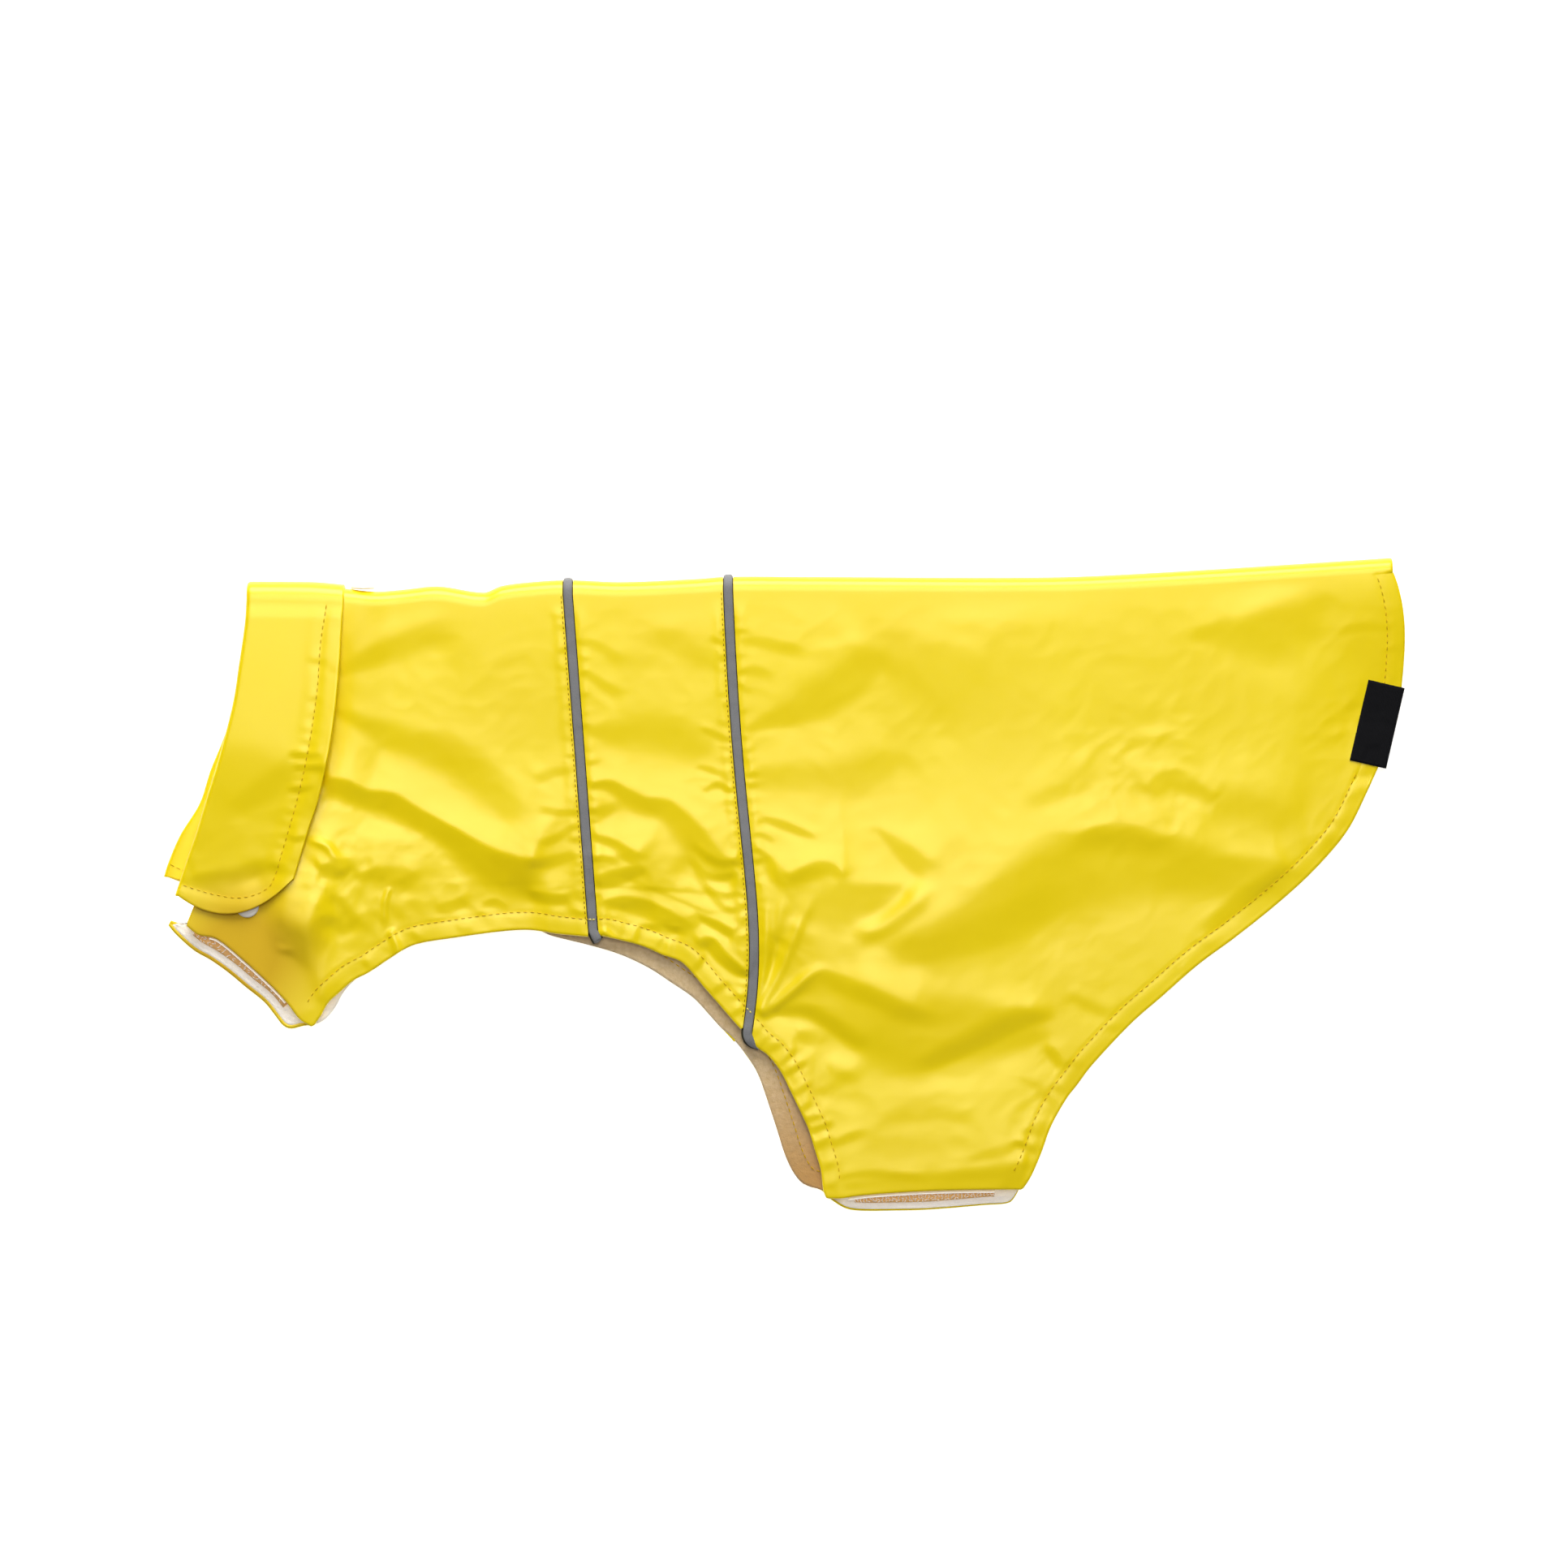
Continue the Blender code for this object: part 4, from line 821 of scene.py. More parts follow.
def near_creases():
    """Raster of the near half's creases."""
    raster = Raster()
    x, y = raster.x, raster.y
    for crease in FACETS:
        raster.facet(*crease)
    for crease in RIDGES:
        raster.ridge(*crease)
    strength = np.full(x.shape, CRUMPLE_EVERYWHERE)
    for cx, cy, reach, most in CRUMPLES:
        near_by = np.exp(-((x - cx) ** 2 + (y - cy) ** 2) / reach ** 2)
        strength = np.maximum(strength, most * near_by)
    raster.height += strength * crumple(x, y)
    add_puckers(raster)
    down, beyond = spine_y(x) - FOLD_RADIUS - y, past_collar(x, y)
    calm = smoothstep(0, FOLD_CALM, down) * smoothstep(COLLAR_UNDER, -2, beyond)
    hem = hem_distance(raster, NEAR, HEM_CALM + 2.0)
    late = smoothstep(0, HOLLOW_REACH, down) - fallen(down)
    loft = LOFT * smoothstep(HOLLOW_REACH, FALL_REACH, down) + FOLD_HOLLOW * late
    inner = smoothstep(0, HEM_CALM, hem) * smoothstep(COLLAR_UNDER, 20, beyond)
    away = np.full(x.shape, np.inf)
    for line in TAPE_LINES:
        away = np.minimum(away, np.abs(from_path(x, y, np.array(line, float))[0]))
    floor = TAPE_FLOOR + (OPEN_FLOOR - TAPE_FLOOR) * smoothstep(20, 36, away)
    raster.height = softly_above(calm * raster.height + loft * inner, floor, FLOOR_ROOM)
    for seam in (0, 1):
        away = np.abs(from_path(x, y, seam_path(seam)[::3])[0])
        raster.height -= smoothstep(3, 12, down) * drawn_in(away, "seam")
    raster.soften()
    sink_stitches(raster, NEAR, -1.0)
    return raster


def far_creases():
    """Raster of the far half's creases: dents upward only, because it rests on the floor."""
    raster = Raster()
    x, y = raster.x, raster.y
    for points, steepness, _, fades in FACETS[::3]:
        moved = [(px + FAR_SHIFT[0], py + FAR_SHIFT[1]) for px, py, _ in points]
        width = max(half for _, _, half in points)
        raster.ridge(moved, (width, width), 2 * steepness, fades)
    raster.height = (np.minimum(raster.height, FAR_DENT)
                     + FAR_CRUMPLE * np.abs(crumple(x, y, FAR_SEED)))
    calm = smoothstep(0, 24, spine_y(x) - FOLD_RADIUS - y) * smoothstep(-6, 10, past_collar(x, y))
    hem = hem_distance(raster, FAR)
    calm *= smoothstep(4.0, 16.0, hem)
    raster.height *= calm
    sink_stitches(raster, FAR, 1.0)
    return raster


def far_base(x, y):
    """Height of the far half's inner face: it steps up where the collar lies under it."""
    over_collar = 1 - smoothstep(*RAISE_ENDS, past_collar(x, y))
    return OUTER_LIFT + COLLAR_RAISE * over_collar


def locate(kind, a, b, lift):
    """Points in mm: a, b is a plan point, or on the fold an x and an angle in degrees."""
    kind, a, b, lift = np.broadcast_arrays(kind, a, b, np.asarray(lift, float))
    x, y, z = a.astype(float).copy(), b.astype(float).copy(), np.zeros(a.shape)
    fold, near, far = kind == FOLD, kind == NEAR, kind == FAR
    top = spine_y(a[fold]) - FOLD_RADIUS
    angle, reach = np.radians(b[fold]), FOLD_RADIUS + lift[fold]
    y[fold] = top + reach * np.abs(np.cos(angle)) ** FOLD_SQUARE
    z[fold] = (far_base(a[fold], top) + FOLD_RADIUS
               + reach * np.sign(angle) * np.abs(np.sin(angle)) ** FOLD_SQUARE
               + FOLD_TILT * (y[fold] - top) * np.maximum(np.sin(angle), 0.0))
    base = far_base(a, b)
    down = spine_y(a[near]) - FOLD_RADIUS - b[near]
    hollow = FOLD_HOLLOW * (1 - smoothstep(0, HOLLOW_REACH, down))
    z[near] = base[near] + HALVES_APART + hollow + CREASES[NEAR].read(a[near], b[near]) + lift[near]
    z[far] = base[far] + CREASES[FAR].read(a[far], b[far]) - lift[far]
    return np.stack([x, y, z], -1)


class Sheet:
    """Grids of points in mm that become one welded mesh."""

    def __init__(self):
        self.points, self.faces, self.count = [], [], 0

    def grid(self, points, closed=False):
        """Adds a grid of points, rows by columns; where it is closed, its columns join up."""
        rows, columns = points.shape[:2]
        r = np.arange(rows - 1)[:, None]
        c = np.arange(columns if closed else columns - 1)[None, :]
        r1, c1 = r + 1, (c + 1) % columns
        quad = (r * columns + c, r * columns + c1, r1 * columns + c1, r1 * columns + c)
        faces = np.stack(quad, -1).reshape(-1, 4) + self.count
        self.points.append(points.reshape(-1, 3))
        self.faces.append(faces)
        self.count += rows * columns

    def build(self, name, material, weld=0.004):
        """The object, in metres, with points closer than the weld joined."""
        mesh = bpy.data.meshes.new(name)
        mesh.from_pydata(np.concatenate(self.points) * MM, [], np.concatenate(self.faces).tolist())
        if weld:
            work = bmesh.new()
            work.from_mesh(mesh)
            bmesh.ops.remove_doubles(work, verts=work.verts, dist=weld * MM)
            bmesh.ops.recalc_face_normals(work, faces=work.faces)
            work.to_mesh(mesh)
            work.free()
        mesh.polygons.foreach_set("use_smooth", [True] * len(mesh.polygons))
        mesh.materials.append(material)
        piece = bpy.data.objects.new(name, mesh)
        bpy.context.scene.collection.objects.link(piece)
        return piece


def spaced(low, high, pitch, half):
    """Columns between two places on the back, no further apart than the pitch at the hem."""
    places = [low]
    while places[-1] < high - 1e-6:
        here = places[-1]
        x0, y0 = hem_point(half, np.array(here))
        x1, y1 = hem_point(half, np.array(min(here + 0.5, TAIL)))
        stretch = max(np.hypot(x1 - x0, y1 - y0) / max(min(here + 0.5, TAIL) - here, 1e-6), 0.85)
        places.append(min(here + pitch / min(stretch, 1.7), high))
    if len(places) > 2 and places[-1] - places[-2] < 0.4:
        places.pop(-2)
    return np.array(places)


def body_lattice(low, high, longest, pitches, inset, far_insets):
    """Kinds and plan places of a body sheet: rows from the near hem over the fold to the far."""
    columns = spaced(low, high, pitches[0], NEAR)
    near = np.linspace(1.0, 0.0, int(longest / pitches[1]) + 1)[:-1]
    fold = np.linspace(90.0, -90.0, 17)
    far = np.linspace(0.0, 1.0, int(longest / pitches[2]) + 1)[1:]
    kind = np.repeat((NEAR, FOLD, FAR), (len(near), len(fold), len(far)))
    a, b = np.zeros((len(kind), len(columns))), np.zeros((len(kind), len(columns)))
    far_inset = np.interp(columns, *zip(*far_insets))
    for half, along, inside in ((NEAR, near, inset), (FAR, far, far_inset)):
        x, y = plan_point(half, columns[None, :], along[:, None], inside)
        a[kind == half], b[kind == half] = x, y
    if low == NECK:
        notch = (smoothstep(-16.8, -11.5, b) * (1 - smoothstep(-7.0, 0.0, b))
                 * (1 - smoothstep(0, 34, columns - NECK)) * (kind == FAR)[:, None])
        a, b = a + FAR_NOTCH[0] * notch, b + FAR_NOTCH[1] * notch
    a[kind == FOLD] = columns - inset * smoothstep(240.0, TAIL, columns)
    b[kind == FOLD] = fold[:, None]
    return np.repeat(kind[:, None], len(columns), 1), a, b


def outward(kind, a, b):
    """Unit plan directions to the left of a chain of border points on the near half.

    On the far half they point to the right, because the sheet is turned over there.
    """
    y = np.where(kind == FOLD, np.nan, b)
    dx, dy = np.gradient(a), np.gradient(y)
    loose = np.isnan(dy)
    dx[loose], dy[loose] = 0.0, 1.0
    length = np.hypot(dx, dy) * np.where(kind == NEAR, -1.0, 1.0)
    return dy / length, -dx / length, loose


def border_strip(sheet, kind, a, b, lift_path, tail_side):
    """Adds a strip along a border chain: lift_path is (reach, lift) pairs outward from it."""
    out_x, out_y, loose = outward(kind, a, b)
    out_x[loose], out_y[loose] = tail_side, 0.0
    rows = []
    for reach, lift in lift_path:
        rows.append(locate(kind, a + out_x * reach, b + out_y * reach, lift))
    sheet.grid(np.stack(rows))


def chain(kind, a, b, parts):
    """Border chain joined from parts of a lattice, without its doubled corners."""
    return [np.concatenate([array[part][min(index, 1):] for index, part in enumerate(parts)])
            for array in (kind, a, b)]


HEM_BACK = (0, slice(None, None, -1))
FAR_ALL = (-1, slice(None))
NECK_DOWN = (slice(None), 0)
TAIL_UP = (slice(None, None, -1), -1)


def rim_path():
    """The body's turned edge: from its outer face round to its inner face and a little way in."""
    middle, half = (OUTER_LIFT + LINING_LIFT) / 2, (OUTER_LIFT - LINING_LIFT) / 2
    angles = np.radians(np.linspace(90, -90, 11))
    outs = RIM_REACH * np.abs(np.cos(angles)) ** RIM_SQUARE
    lifts = middle + half * np.abs(np.sin(angles)) ** RIM_SQUARE * np.sign(angles)
    return [*zip(outs, lifts), (-RIM_TUCK, middle - half + RIM_TUCK_LIFT)]


def finish_cloth(piece, replaced):
    """Rides one sheet of cloth on the body and hides the parts it replaces."""
    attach(piece, "root")
    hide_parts(*replaced)


def finish_trim(piece, replaced=()):
    """Rides one small piece on the body."""
    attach(piece, "root")
    if replaced:
        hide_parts(*replaced)


# ---------------------------------------------------------------- materials

class Nodes:
    """A material's node tree, with short calls for the nodes used here."""

    def __init__(self, name):
        self.material = bpy.data.materials.new(name)
        self.material.use_nodes = True
        self.tree = self.material.node_tree
        self.shader = self.tree.nodes["Principled BSDF"]
        self.coordinates = self.tree.nodes.new("ShaderNodeTexCoord").outputs["Object"]

    def add(self, kind, **settings):
        """A new shader node with its settings."""
        node = self.tree.nodes.new("ShaderNode" + kind)
        for key, value in settings.items():
            setattr(node, key, value)
        return node

    def link(self, source, target):
        """Joins an output to an input."""
        self.tree.links.new(source, target)

    def noise(self, scale, detail):
        """Noise of a size in metres, 1 / scale."""
        node = self.add("TexNoise")
        node.inputs["Scale"].default_value = scale
        node.inputs["Detail"].default_value = detail
        self.link(self.coordinates, node.inputs["Vector"])
        return node.outputs["Fac"]

    def wave(self, direction, scale):
        """Fine parallel threads across a direction."""
        mapped = self.add("Mapping")
        mapped.inputs["Rotation"].default_value = direction
        self.link(self.coordinates, mapped.inputs["Vector"])
        node = self.add("TexWave", wave_type="BANDS", bands_direction="X")
        node.inputs["Scale"].default_value = scale
        self.link(mapped.outputs["Vector"], node.inputs["Vector"])
        return node.outputs["Fac"]

    def math(self, operation, first, second):
        """One sum of two outputs or numbers."""
        node = self.add("Math", operation=operation)
        for socket, value in zip(node.inputs, (first, second)):
            if isinstance(value, (int, float)):
                socket.default_value = value
            else:
                self.link(value, socket)
        return node.outputs[0]

    def mix(self, factor, first, second):
        """Colour between two colours or colour outputs."""
        node = self.add("Mix", data_type="RGBA")
        self.link(factor, node.inputs["Factor"])
        for socket, value in ((node.inputs["A"], first), (node.inputs["B"], second)):
            if isinstance(value, tuple):
                socket.default_value = (*value, 1.0)
            else:
                self.link(value, socket)
        return node.outputs["Result"]

    def ramp(self, value, low, high):
        """0 where a value is low, 1 where it is high, straight between."""
        node = self.add("MapRange")
        node.inputs["From Min"].default_value = low
        node.inputs["From Max"].default_value = high
        self.link(value, node.inputs["Value"])
        return node.outputs["Result"]

    def bump(self, *layers):
        """Bumps in metres, each (height output, depth), one over the other."""
        normal = None
        for height, depth in layers:
            node = self.add("Bump")
            node.inputs["Distance"].default_value = depth
            self.link(height, node.inputs["Height"])
            if normal is not None:
                self.link(normal, node.inputs["Normal"])
            normal = node.outputs["Normal"]
        self.link(normal, self.shader.inputs["Normal"])

    def set(self, **values):
        """Sets values that are the same all over on the shader's own sockets."""
        for key, value in values.items():
            socket = self.shader.inputs[key.replace("_", " ")]
            socket.default_value = (*value, 1.0) if isinstance(value, tuple) else value


# Plain materials by name: two colours, the noise's scale, roughness, the bump's depth in metres,
# and more settings of the shader
PLAIN = {
    # Painted seam shadow: the dark material of the pipings' sides
    "piping_painted_shadow": ((0.035, 0.032, 0.02), (0.06, 0.055, 0.03), 900, 0.9, 0.00002,
                    {"Specular_IOR_Level": 0.1}),
    # White tape with a painted glow: emission to lighten it in the near hem's shade
    "tape_white_painted_glow": ((0.95, 0.90, 0.84), (0.86, 0.79, 0.70), 900, 0.9, 0.0001,
                   {"Emission_Color": (1.0, 0.9, 0.8), "Emission_Strength": 0.15}),
    # Painted shade: the far tapes' tan, warmed by bounce from the nylon, with a painted glow of
    # emission
    "tape_painted_shade_glow": ((0.70, 0.36, 0.09), (0.85, 0.55, 0.22), 700, 0.9, 0.0001,
                 {"Emission_Color": (1.0, 0.62, 0.3), "Emission_Strength": 0.12}),
    "snap_white": ((0.95, 0.91, 0.83), (0.96, 0.93, 0.87), 60, 0.32, 0.00001, {}),
    "yellow_thread": ((0.66, 0.40, 0.003), (0.78, 0.51, 0.006), 2500, 0.8, 0.00002,
                      {"Specular_IOR_Level": 0.2}),
    "shaded_thread": ((0.42, 0.24, 0.003), (0.54, 0.32, 0.005), 2500, 0.8, 0.00002,
                      {"Specular_IOR_Level": 0.2}),
    "bright_thread": ((1.0, 0.88, 0.25), (0.95, 0.80, 0.12), 2500, 0.6, 0.00002, {}),
}


def nylon_material():
    """Yellow coated nylon: satin, with a very fine weave and a faint unevenness of its dye.

    Round CHEST_SHADE it is painted a deeper, more orange yellow as shade under the collar, and is
    more matt there.
    """
    nodes = Nodes("yellow_nylon")
    shade = nodes.ramp(nodes.noise(22, 3), 0.35, 0.68)
    color = nodes.mix(shade, YELLOW, YELLOW_DEEP)
    # Painted shade under the collar's near end, fading out from CHEST_SHADE
    away = nodes.add("VectorMath", operation="DISTANCE")
    nodes.link(nodes.coordinates, away.inputs[0])
    away.inputs[1].default_value = CHEST_SHADE
    deep = nodes.math("MULTIPLY", nodes.ramp(away.outputs["Value"], 0.040, 0.015), 0.85)
    color = nodes.mix(deep, color, YELLOW_SHADED)
    nodes.link(color, nodes.shader.inputs["Base Color"])
    uneven = nodes.math("ADD", nodes.math("MULTIPLY", nodes.noise(40, 2), 0.05), 0.27)
    rough = nodes.math("ADD", nodes.math("MULTIPLY", deep, 0.5), uneven)
    nodes.link(rough, nodes.shader.inputs["Roughness"])
    nodes.set(Specular_IOR_Level=0.8, Specular_Tint=(1.0, 0.97, 0.6))
    threads = nodes.math("MULTIPLY", nodes.wave((0, 0, 0), 520), nodes.wave((0, 0, 1.5708), 520))
    nodes.bump((nodes.noise(60, 1), 0.00003), (threads, 0.0000006))
    return nodes.material


def fleece_material():
    """Cream fleece: matt, soft and clumped, white at both tabs; painted shade makes it tan along
    the arch and deeper orange toward the arch's lower end, and a painted glow lights it, most at
    both tabs.
    """
    nodes = Nodes("cream_fleece")
    clumps = nodes.noise(420, 4)
    place = nodes.add("SeparateXYZ")
    nodes.link(nodes.coordinates, place.inputs["Vector"])
    x, y = place.outputs["X"], place.outputs["Y"]
    # 1 at both tabs, where the fleece keeps its own white; 0 along the arch, where it is painted in
    # shade
    belly = nodes.math("MULTIPLY", nodes.ramp(y, -0.118, -0.128), nodes.ramp(x, 0.017, 0.026))
    light = nodes.math("MAXIMUM", belly, nodes.ramp(x, -0.165, -0.190))
    # Painted shade: the tan of the fleece along the arch
    tan = nodes.mix(nodes.ramp(clumps, 0.3, 0.7), *FLEECE_PAINTED_SHADE)
    # Painted shade: deeper orange toward the arch's lower end
    tan = nodes.mix(nodes.ramp(y, -0.075, -0.125), tan, FLEECE_SHADED)
    white = nodes.mix(nodes.ramp(clumps, 0.3, 0.7), *FLEECE_WHITE)
    nodes.link(nodes.mix(light, tan, white), nodes.shader.inputs["Base Color"])
    # Painted glow: emission over all the fleece, more at both tabs
    painted_glow = nodes.math("ADD", nodes.math("MULTIPLY", light, 0.16), 0.05)
    nodes.link(painted_glow, nodes.shader.inputs["Emission Strength"])
    nodes.set(Roughness=1.0, Sheen_Weight=0.3, Sheen_Roughness=0.6, Specular_IOR_Level=0.1,
              Emission_Color=(1.0, 0.90, 0.78))
    nodes.bump((clumps, 0.0004), (nodes.noise(1500, 3), 0.00015))
    return nodes.material


def piping_material():
    """Grey reflective tape: a fine metallic grain of glass beads."""
    nodes = Nodes("reflective_grey")
    grain = nodes.noise(2600, 2)
    nodes.link(nodes.mix(grain, *PIPING_GREY), nodes.shader.inputs["Base Color"])
    nodes.set(Roughness=0.6, Specular_IOR_Level=0.3)
    nodes.bump((nodes.noise(300, 2), 0.0001), (grain, 0.00002))
    return nodes.material


def plain_material(name):
    """A material of two close colours in a fine noise, with a small bump, from PLAIN."""
    color, other, scale, roughness, depth, more = PLAIN[name]
    nodes = Nodes(name)
    grain = nodes.noise(scale, 3)
    nodes.link(nodes.mix(grain, color, other), nodes.shader.inputs["Base Color"])
    nodes.set(Roughness=roughness, **more)
    nodes.bump((grain, depth))
    return nodes.material


def label_material():
    """Black woven label: fine ribs across it."""
    nodes = Nodes("black_woven")
    ribs = nodes.math("MULTIPLY", nodes.wave((0, 0, 0.2), 640), nodes.wave((0, 0, 1.77), 900))
    nodes.link(nodes.mix(ribs, *LABEL_BLACK), nodes.shader.inputs["Base Color"])
    nodes.set(Roughness=0.85, Specular_IOR_Level=0.15)
    nodes.bump((ribs, 0.00006))
    return nodes.material


# ---------------------------------------------------------------- cloth

def draw_to_seam(kind, a, b, seam, side):
    """Moves a panel's last columns so that it ends at an even distance from its piping."""
    edge = 0 if side > 0 else -1
    for half in (NEAR, FAR):
        rows = kind[:, 0] == half
        path = seam_path(seam, half)
        target = np.interp(-b[rows, edge], -path[:, 1], path[:, 0]) + side * SEAM_HALF_GAP
        away = np.abs(a[rows] - a[rows, edge][:, None])
        a[rows] += (target - a[rows, edge])[:, None] * (1 - smoothstep(0, SEAM_DRAW, away))


# Outer cloth, each panel one sheet: where its columns start on the back, the length of the
# longest, its flat size in metres, its mesh pitches, the chains of border that are turned in,
# and which way these face at the fold
PANELS = (
    ("front", NECK, SEAMS[0] - SEAM_HALF_GAP, 192.0, (0.175, 0.43), NYLON_PITCHES,
     ((HEM_BACK, NECK_DOWN, FAR_ALL),), -1.0),
    ("middle", SEAMS[0] + SEAM_HALF_GAP, SEAMS[1] - SEAM_HALF_GAP, 200.0, (0.075, 0.41),
     NYLON_PITCHES, ((HEM_BACK,), (FAR_ALL,)), -1.0),
    ("rear", SEAMS[1] + SEAM_HALF_GAP, TAIL, LONGEST_COLUMN, (0.31, 0.53), REAR_PITCHES,
     ((FAR_ALL, TAIL_UP, HEM_BACK),), 1.0),
)


def make_shells(material):
    """Outer cloth: three panels, each one sheet from the near hem over the back to the far."""
    for name, low, high, longest, flat, pitches, chains, tail_side in PANELS:
        sheet = Sheet()
        kind, a, b = body_lattice(low, high, longest, pitches, RIM_REACH, SHELL_FAR_INSETS)
        for seam, place in enumerate(SEAMS):
            if low == place + SEAM_HALF_GAP:
                draw_to_seam(kind, a, b, seam, 1)
            if high == place - SEAM_HALF_GAP:
                draw_to_seam(kind, a, b, seam, -1)
        sheet.grid(locate(kind, a, b, OUTER_LIFT))
        for parts in chains:
            border_strip(sheet, *chain(kind, a, b, parts), rim_path(), tail_side)
        piece = sheet.build("shell_cloth_" + name, material)
        finish_cloth(piece, ["shell_" + name])


def make_lining(material):
    """Fleece lining: one sheet under all three panels, its edges tucked into the hems' roll."""
    sheet = Sheet()
    kind, a, b = body_lattice(NECK, TAIL, LONGEST_COLUMN, LINING_PITCHES, LINING_INSET,
                              LINING_FAR_INSETS)
    pile = sum(height * gradient_noise(a, b, size, seed) for height, size, seed in FLEECE_PILE)
    face = LINING_LIFT - FLEECE_FULL
    sheet.grid(locate(kind, a, b, face + pile))
    tuck = ((0.0, face), (0.5, LINING_LIFT), (0.9, LINING_LIFT + 0.5))
    border_strip(sheet, *chain(kind, a, b, [FAR_ALL, TAIL_UP, HEM_BACK]), tuck, 1.0)
    border_strip(sheet, *chain(kind, a, b, [NECK_DOWN]), tuck, -1.0)
    piece = sheet.build("fleece_lining", material)
    finish_cloth(piece, ["lining"])


def collar_values(table, down):
    """The collar's cross line at shares of the way down, as five arrays."""
    places = np.arange(len(table))
    return [through(places, column_of(table, index), down * (len(table) - 1))
            for index in range(5)]


# The collar's section, once round it: part, side (1 outer, -1 inner), and shares along it
COLLAR_SECTION = (
    ("stand", 1.0, np.linspace(0, 1, 8)[:-1]), ("turn", 1.0, np.linspace(0, 1, 10)[:-1]),
    ("leaf", 1.0, np.linspace(0, 1, 46)), ("rim", 0.0, np.linspace(0, 1, 8)[1:-1]),
    ("leaf", -1.0, np.linspace(1, 0, 16)), ("turn", -1.0, np.linspace(1, 0, 5)[1:]),
    ("stand", -1.0, np.linspace(1, 0, 6)[1:]),
)


def collar_across():
    """Places round the collar's section: part, side and share."""
    return [(part, side, share) for part, side, shares in COLLAR_SECTION for share in shares]


def collar_place(part, side, share, half_wall, seam_x, fold_x, edge_x):
    """X and lift of a place round the collar's section."""
    radius = COLLAR_MIDDLE + side * half_wall
    turn_x, reach_x = fold_x + COLLAR_MIDDLE + COLLAR_HALF_WALL, edge_x - COLLAR_HALF_WALL
    out, up = np.sin(np.pi * share), np.cos(np.pi * share)
    if part == "stand":
        return seam_x + (turn_x - seam_x) * share, COLLAR_TURN_LIFT - radius
    if part == "turn":
        return turn_x - radius * out, COLLAR_TURN_LIFT - radius * up
    if part == "leaf":
        return turn_x + (reach_x - turn_x) * share, COLLAR_TURN_LIFT + radius
    return reach_x + half_wall * out, COLLAR_TURN_LIFT + COLLAR_MIDDLE + half_wall * up


def neck_x(half, y):
    """X of the body's neck edge at heights y of the plan."""
    edge_x, edge_y = plan_point(half, NECK, np.linspace(0.0, 1.0, 60))
    return np.interp(-y, -edge_y, edge_x)


def leaf_creases():
    """Raster of the collar's near leaf: folds, puckers along its stitching and its hem band."""
    raster = Raster()
    for crease in LEAF_FACETS:
        raster.facet(*crease)
    draw = np.random.default_rng(5)
    for y in LEAF_PUCKERS:
        edge = float(np.interp(y, EDGE_YS, EDGE_XS)) - COLLAR_STITCH_INSET
        reach = draw.uniform(3.5, 7.0)
        rise = draw.uniform(-0.5, 1.6)
        points = ((edge - reach, y + rise, 1.0), (edge, y, 1.1),
                  (edge + reach * 0.8, y + rise * 0.4, 0.9))
        raster.facet(points, draw.uniform(0.07, 0.2), (FIRM, SOFT), (0.4, 0.4))
    x, y = raster.x, raster.y
    crest = LEAF_CREST + LEAF_CREST_SLOPE * (NECK - x)
    above = smoothstep(0, HOLLOW_REACH, spine_y(x) - FOLD_RADIUS - np.maximum(y, crest))
    below = (np.maximum(y, LEAF_FOOT) - LEAF_FOOT) / (crest - LEAF_FOOT)
    short = 1.0 - below
    raster.height += LEAF_TENT * above * (1.0 - (short + np.hypot(short, LEAF_CREST_ROUND)) / 2)
    raster.height += LEAF_CRUMPLE * crumple(x, y, LEAF_SEED) * smoothstep(70, 10, y)
    snap = np.hypot(x - SNAP_CHEST[0], y - SNAP_CHEST[1])
    raster.height += SNAP_LIFT * np.exp(-(snap / SNAP_LIFT_REACH) ** 2)
    line = smooth_path(COLLAR_STITCH_NEAR)
    raster.height -= drawn_in(np.abs(from_path(x, y, line)[0]), "leaf")
    raster.height = softly_above(raster.height + LEAF_LOFT, 0.0, 0.3)
    raster.soften()
    return raster


def collar_rows(half, table, count, leaf):
    """Points of the collar's section at places down one half, rounded off at its lower end."""
    reach = np.hypot(table[-1][1] - table[0][1], table[-1][2] - table[0][2])
    down = np.concatenate([np.linspace(0.0, 1.0 - COLLAR_END_START / reach, count),
                           1.0 - np.array(COLLAR_END_ROWS) / reach])
    seam_y, fold_x, fold_y, edge_x, edge_y = collar_values(table, down)
    round_off = 1 - np.clip((1 - down) * reach / COLLAR_HALF_WALL / COLLAR_END_ROUND, 0, 1)
    half_wall = COLLAR_HALF_WALL * np.sqrt(np.maximum(1 - round_off ** 2, 0.0))
    seam_x = neck_x(half, seam_y) - STAND_TUCK
    lines = []
    for part, side, share in collar_across():
        x, lift = collar_place(part, side, share, half_wall, seam_x, fold_x, edge_x)
        y, settled = fold_y, 1.0
        if part == "stand":
            y, settled = seam_y + (fold_y - seam_y) * share, smoothstep(0.0, 1.0, share)
        elif part != "turn":
            along = 1.0 if part == "rim" else share
            sag = COLLAR_END_SAG[half] * 4 * along * (1 - along)
            y = fold_y + (edge_y - fold_y) * along - sag * smoothstep(SAG_STARTS, 1.0, down)
        if half == NEAR:
            lift = lift + leaf.read(x, y) * settled * smoothstep(0.0, 0.1, down)
        lines.append(locate(half, x, y, lift))
    return np.stack(lines, 1)


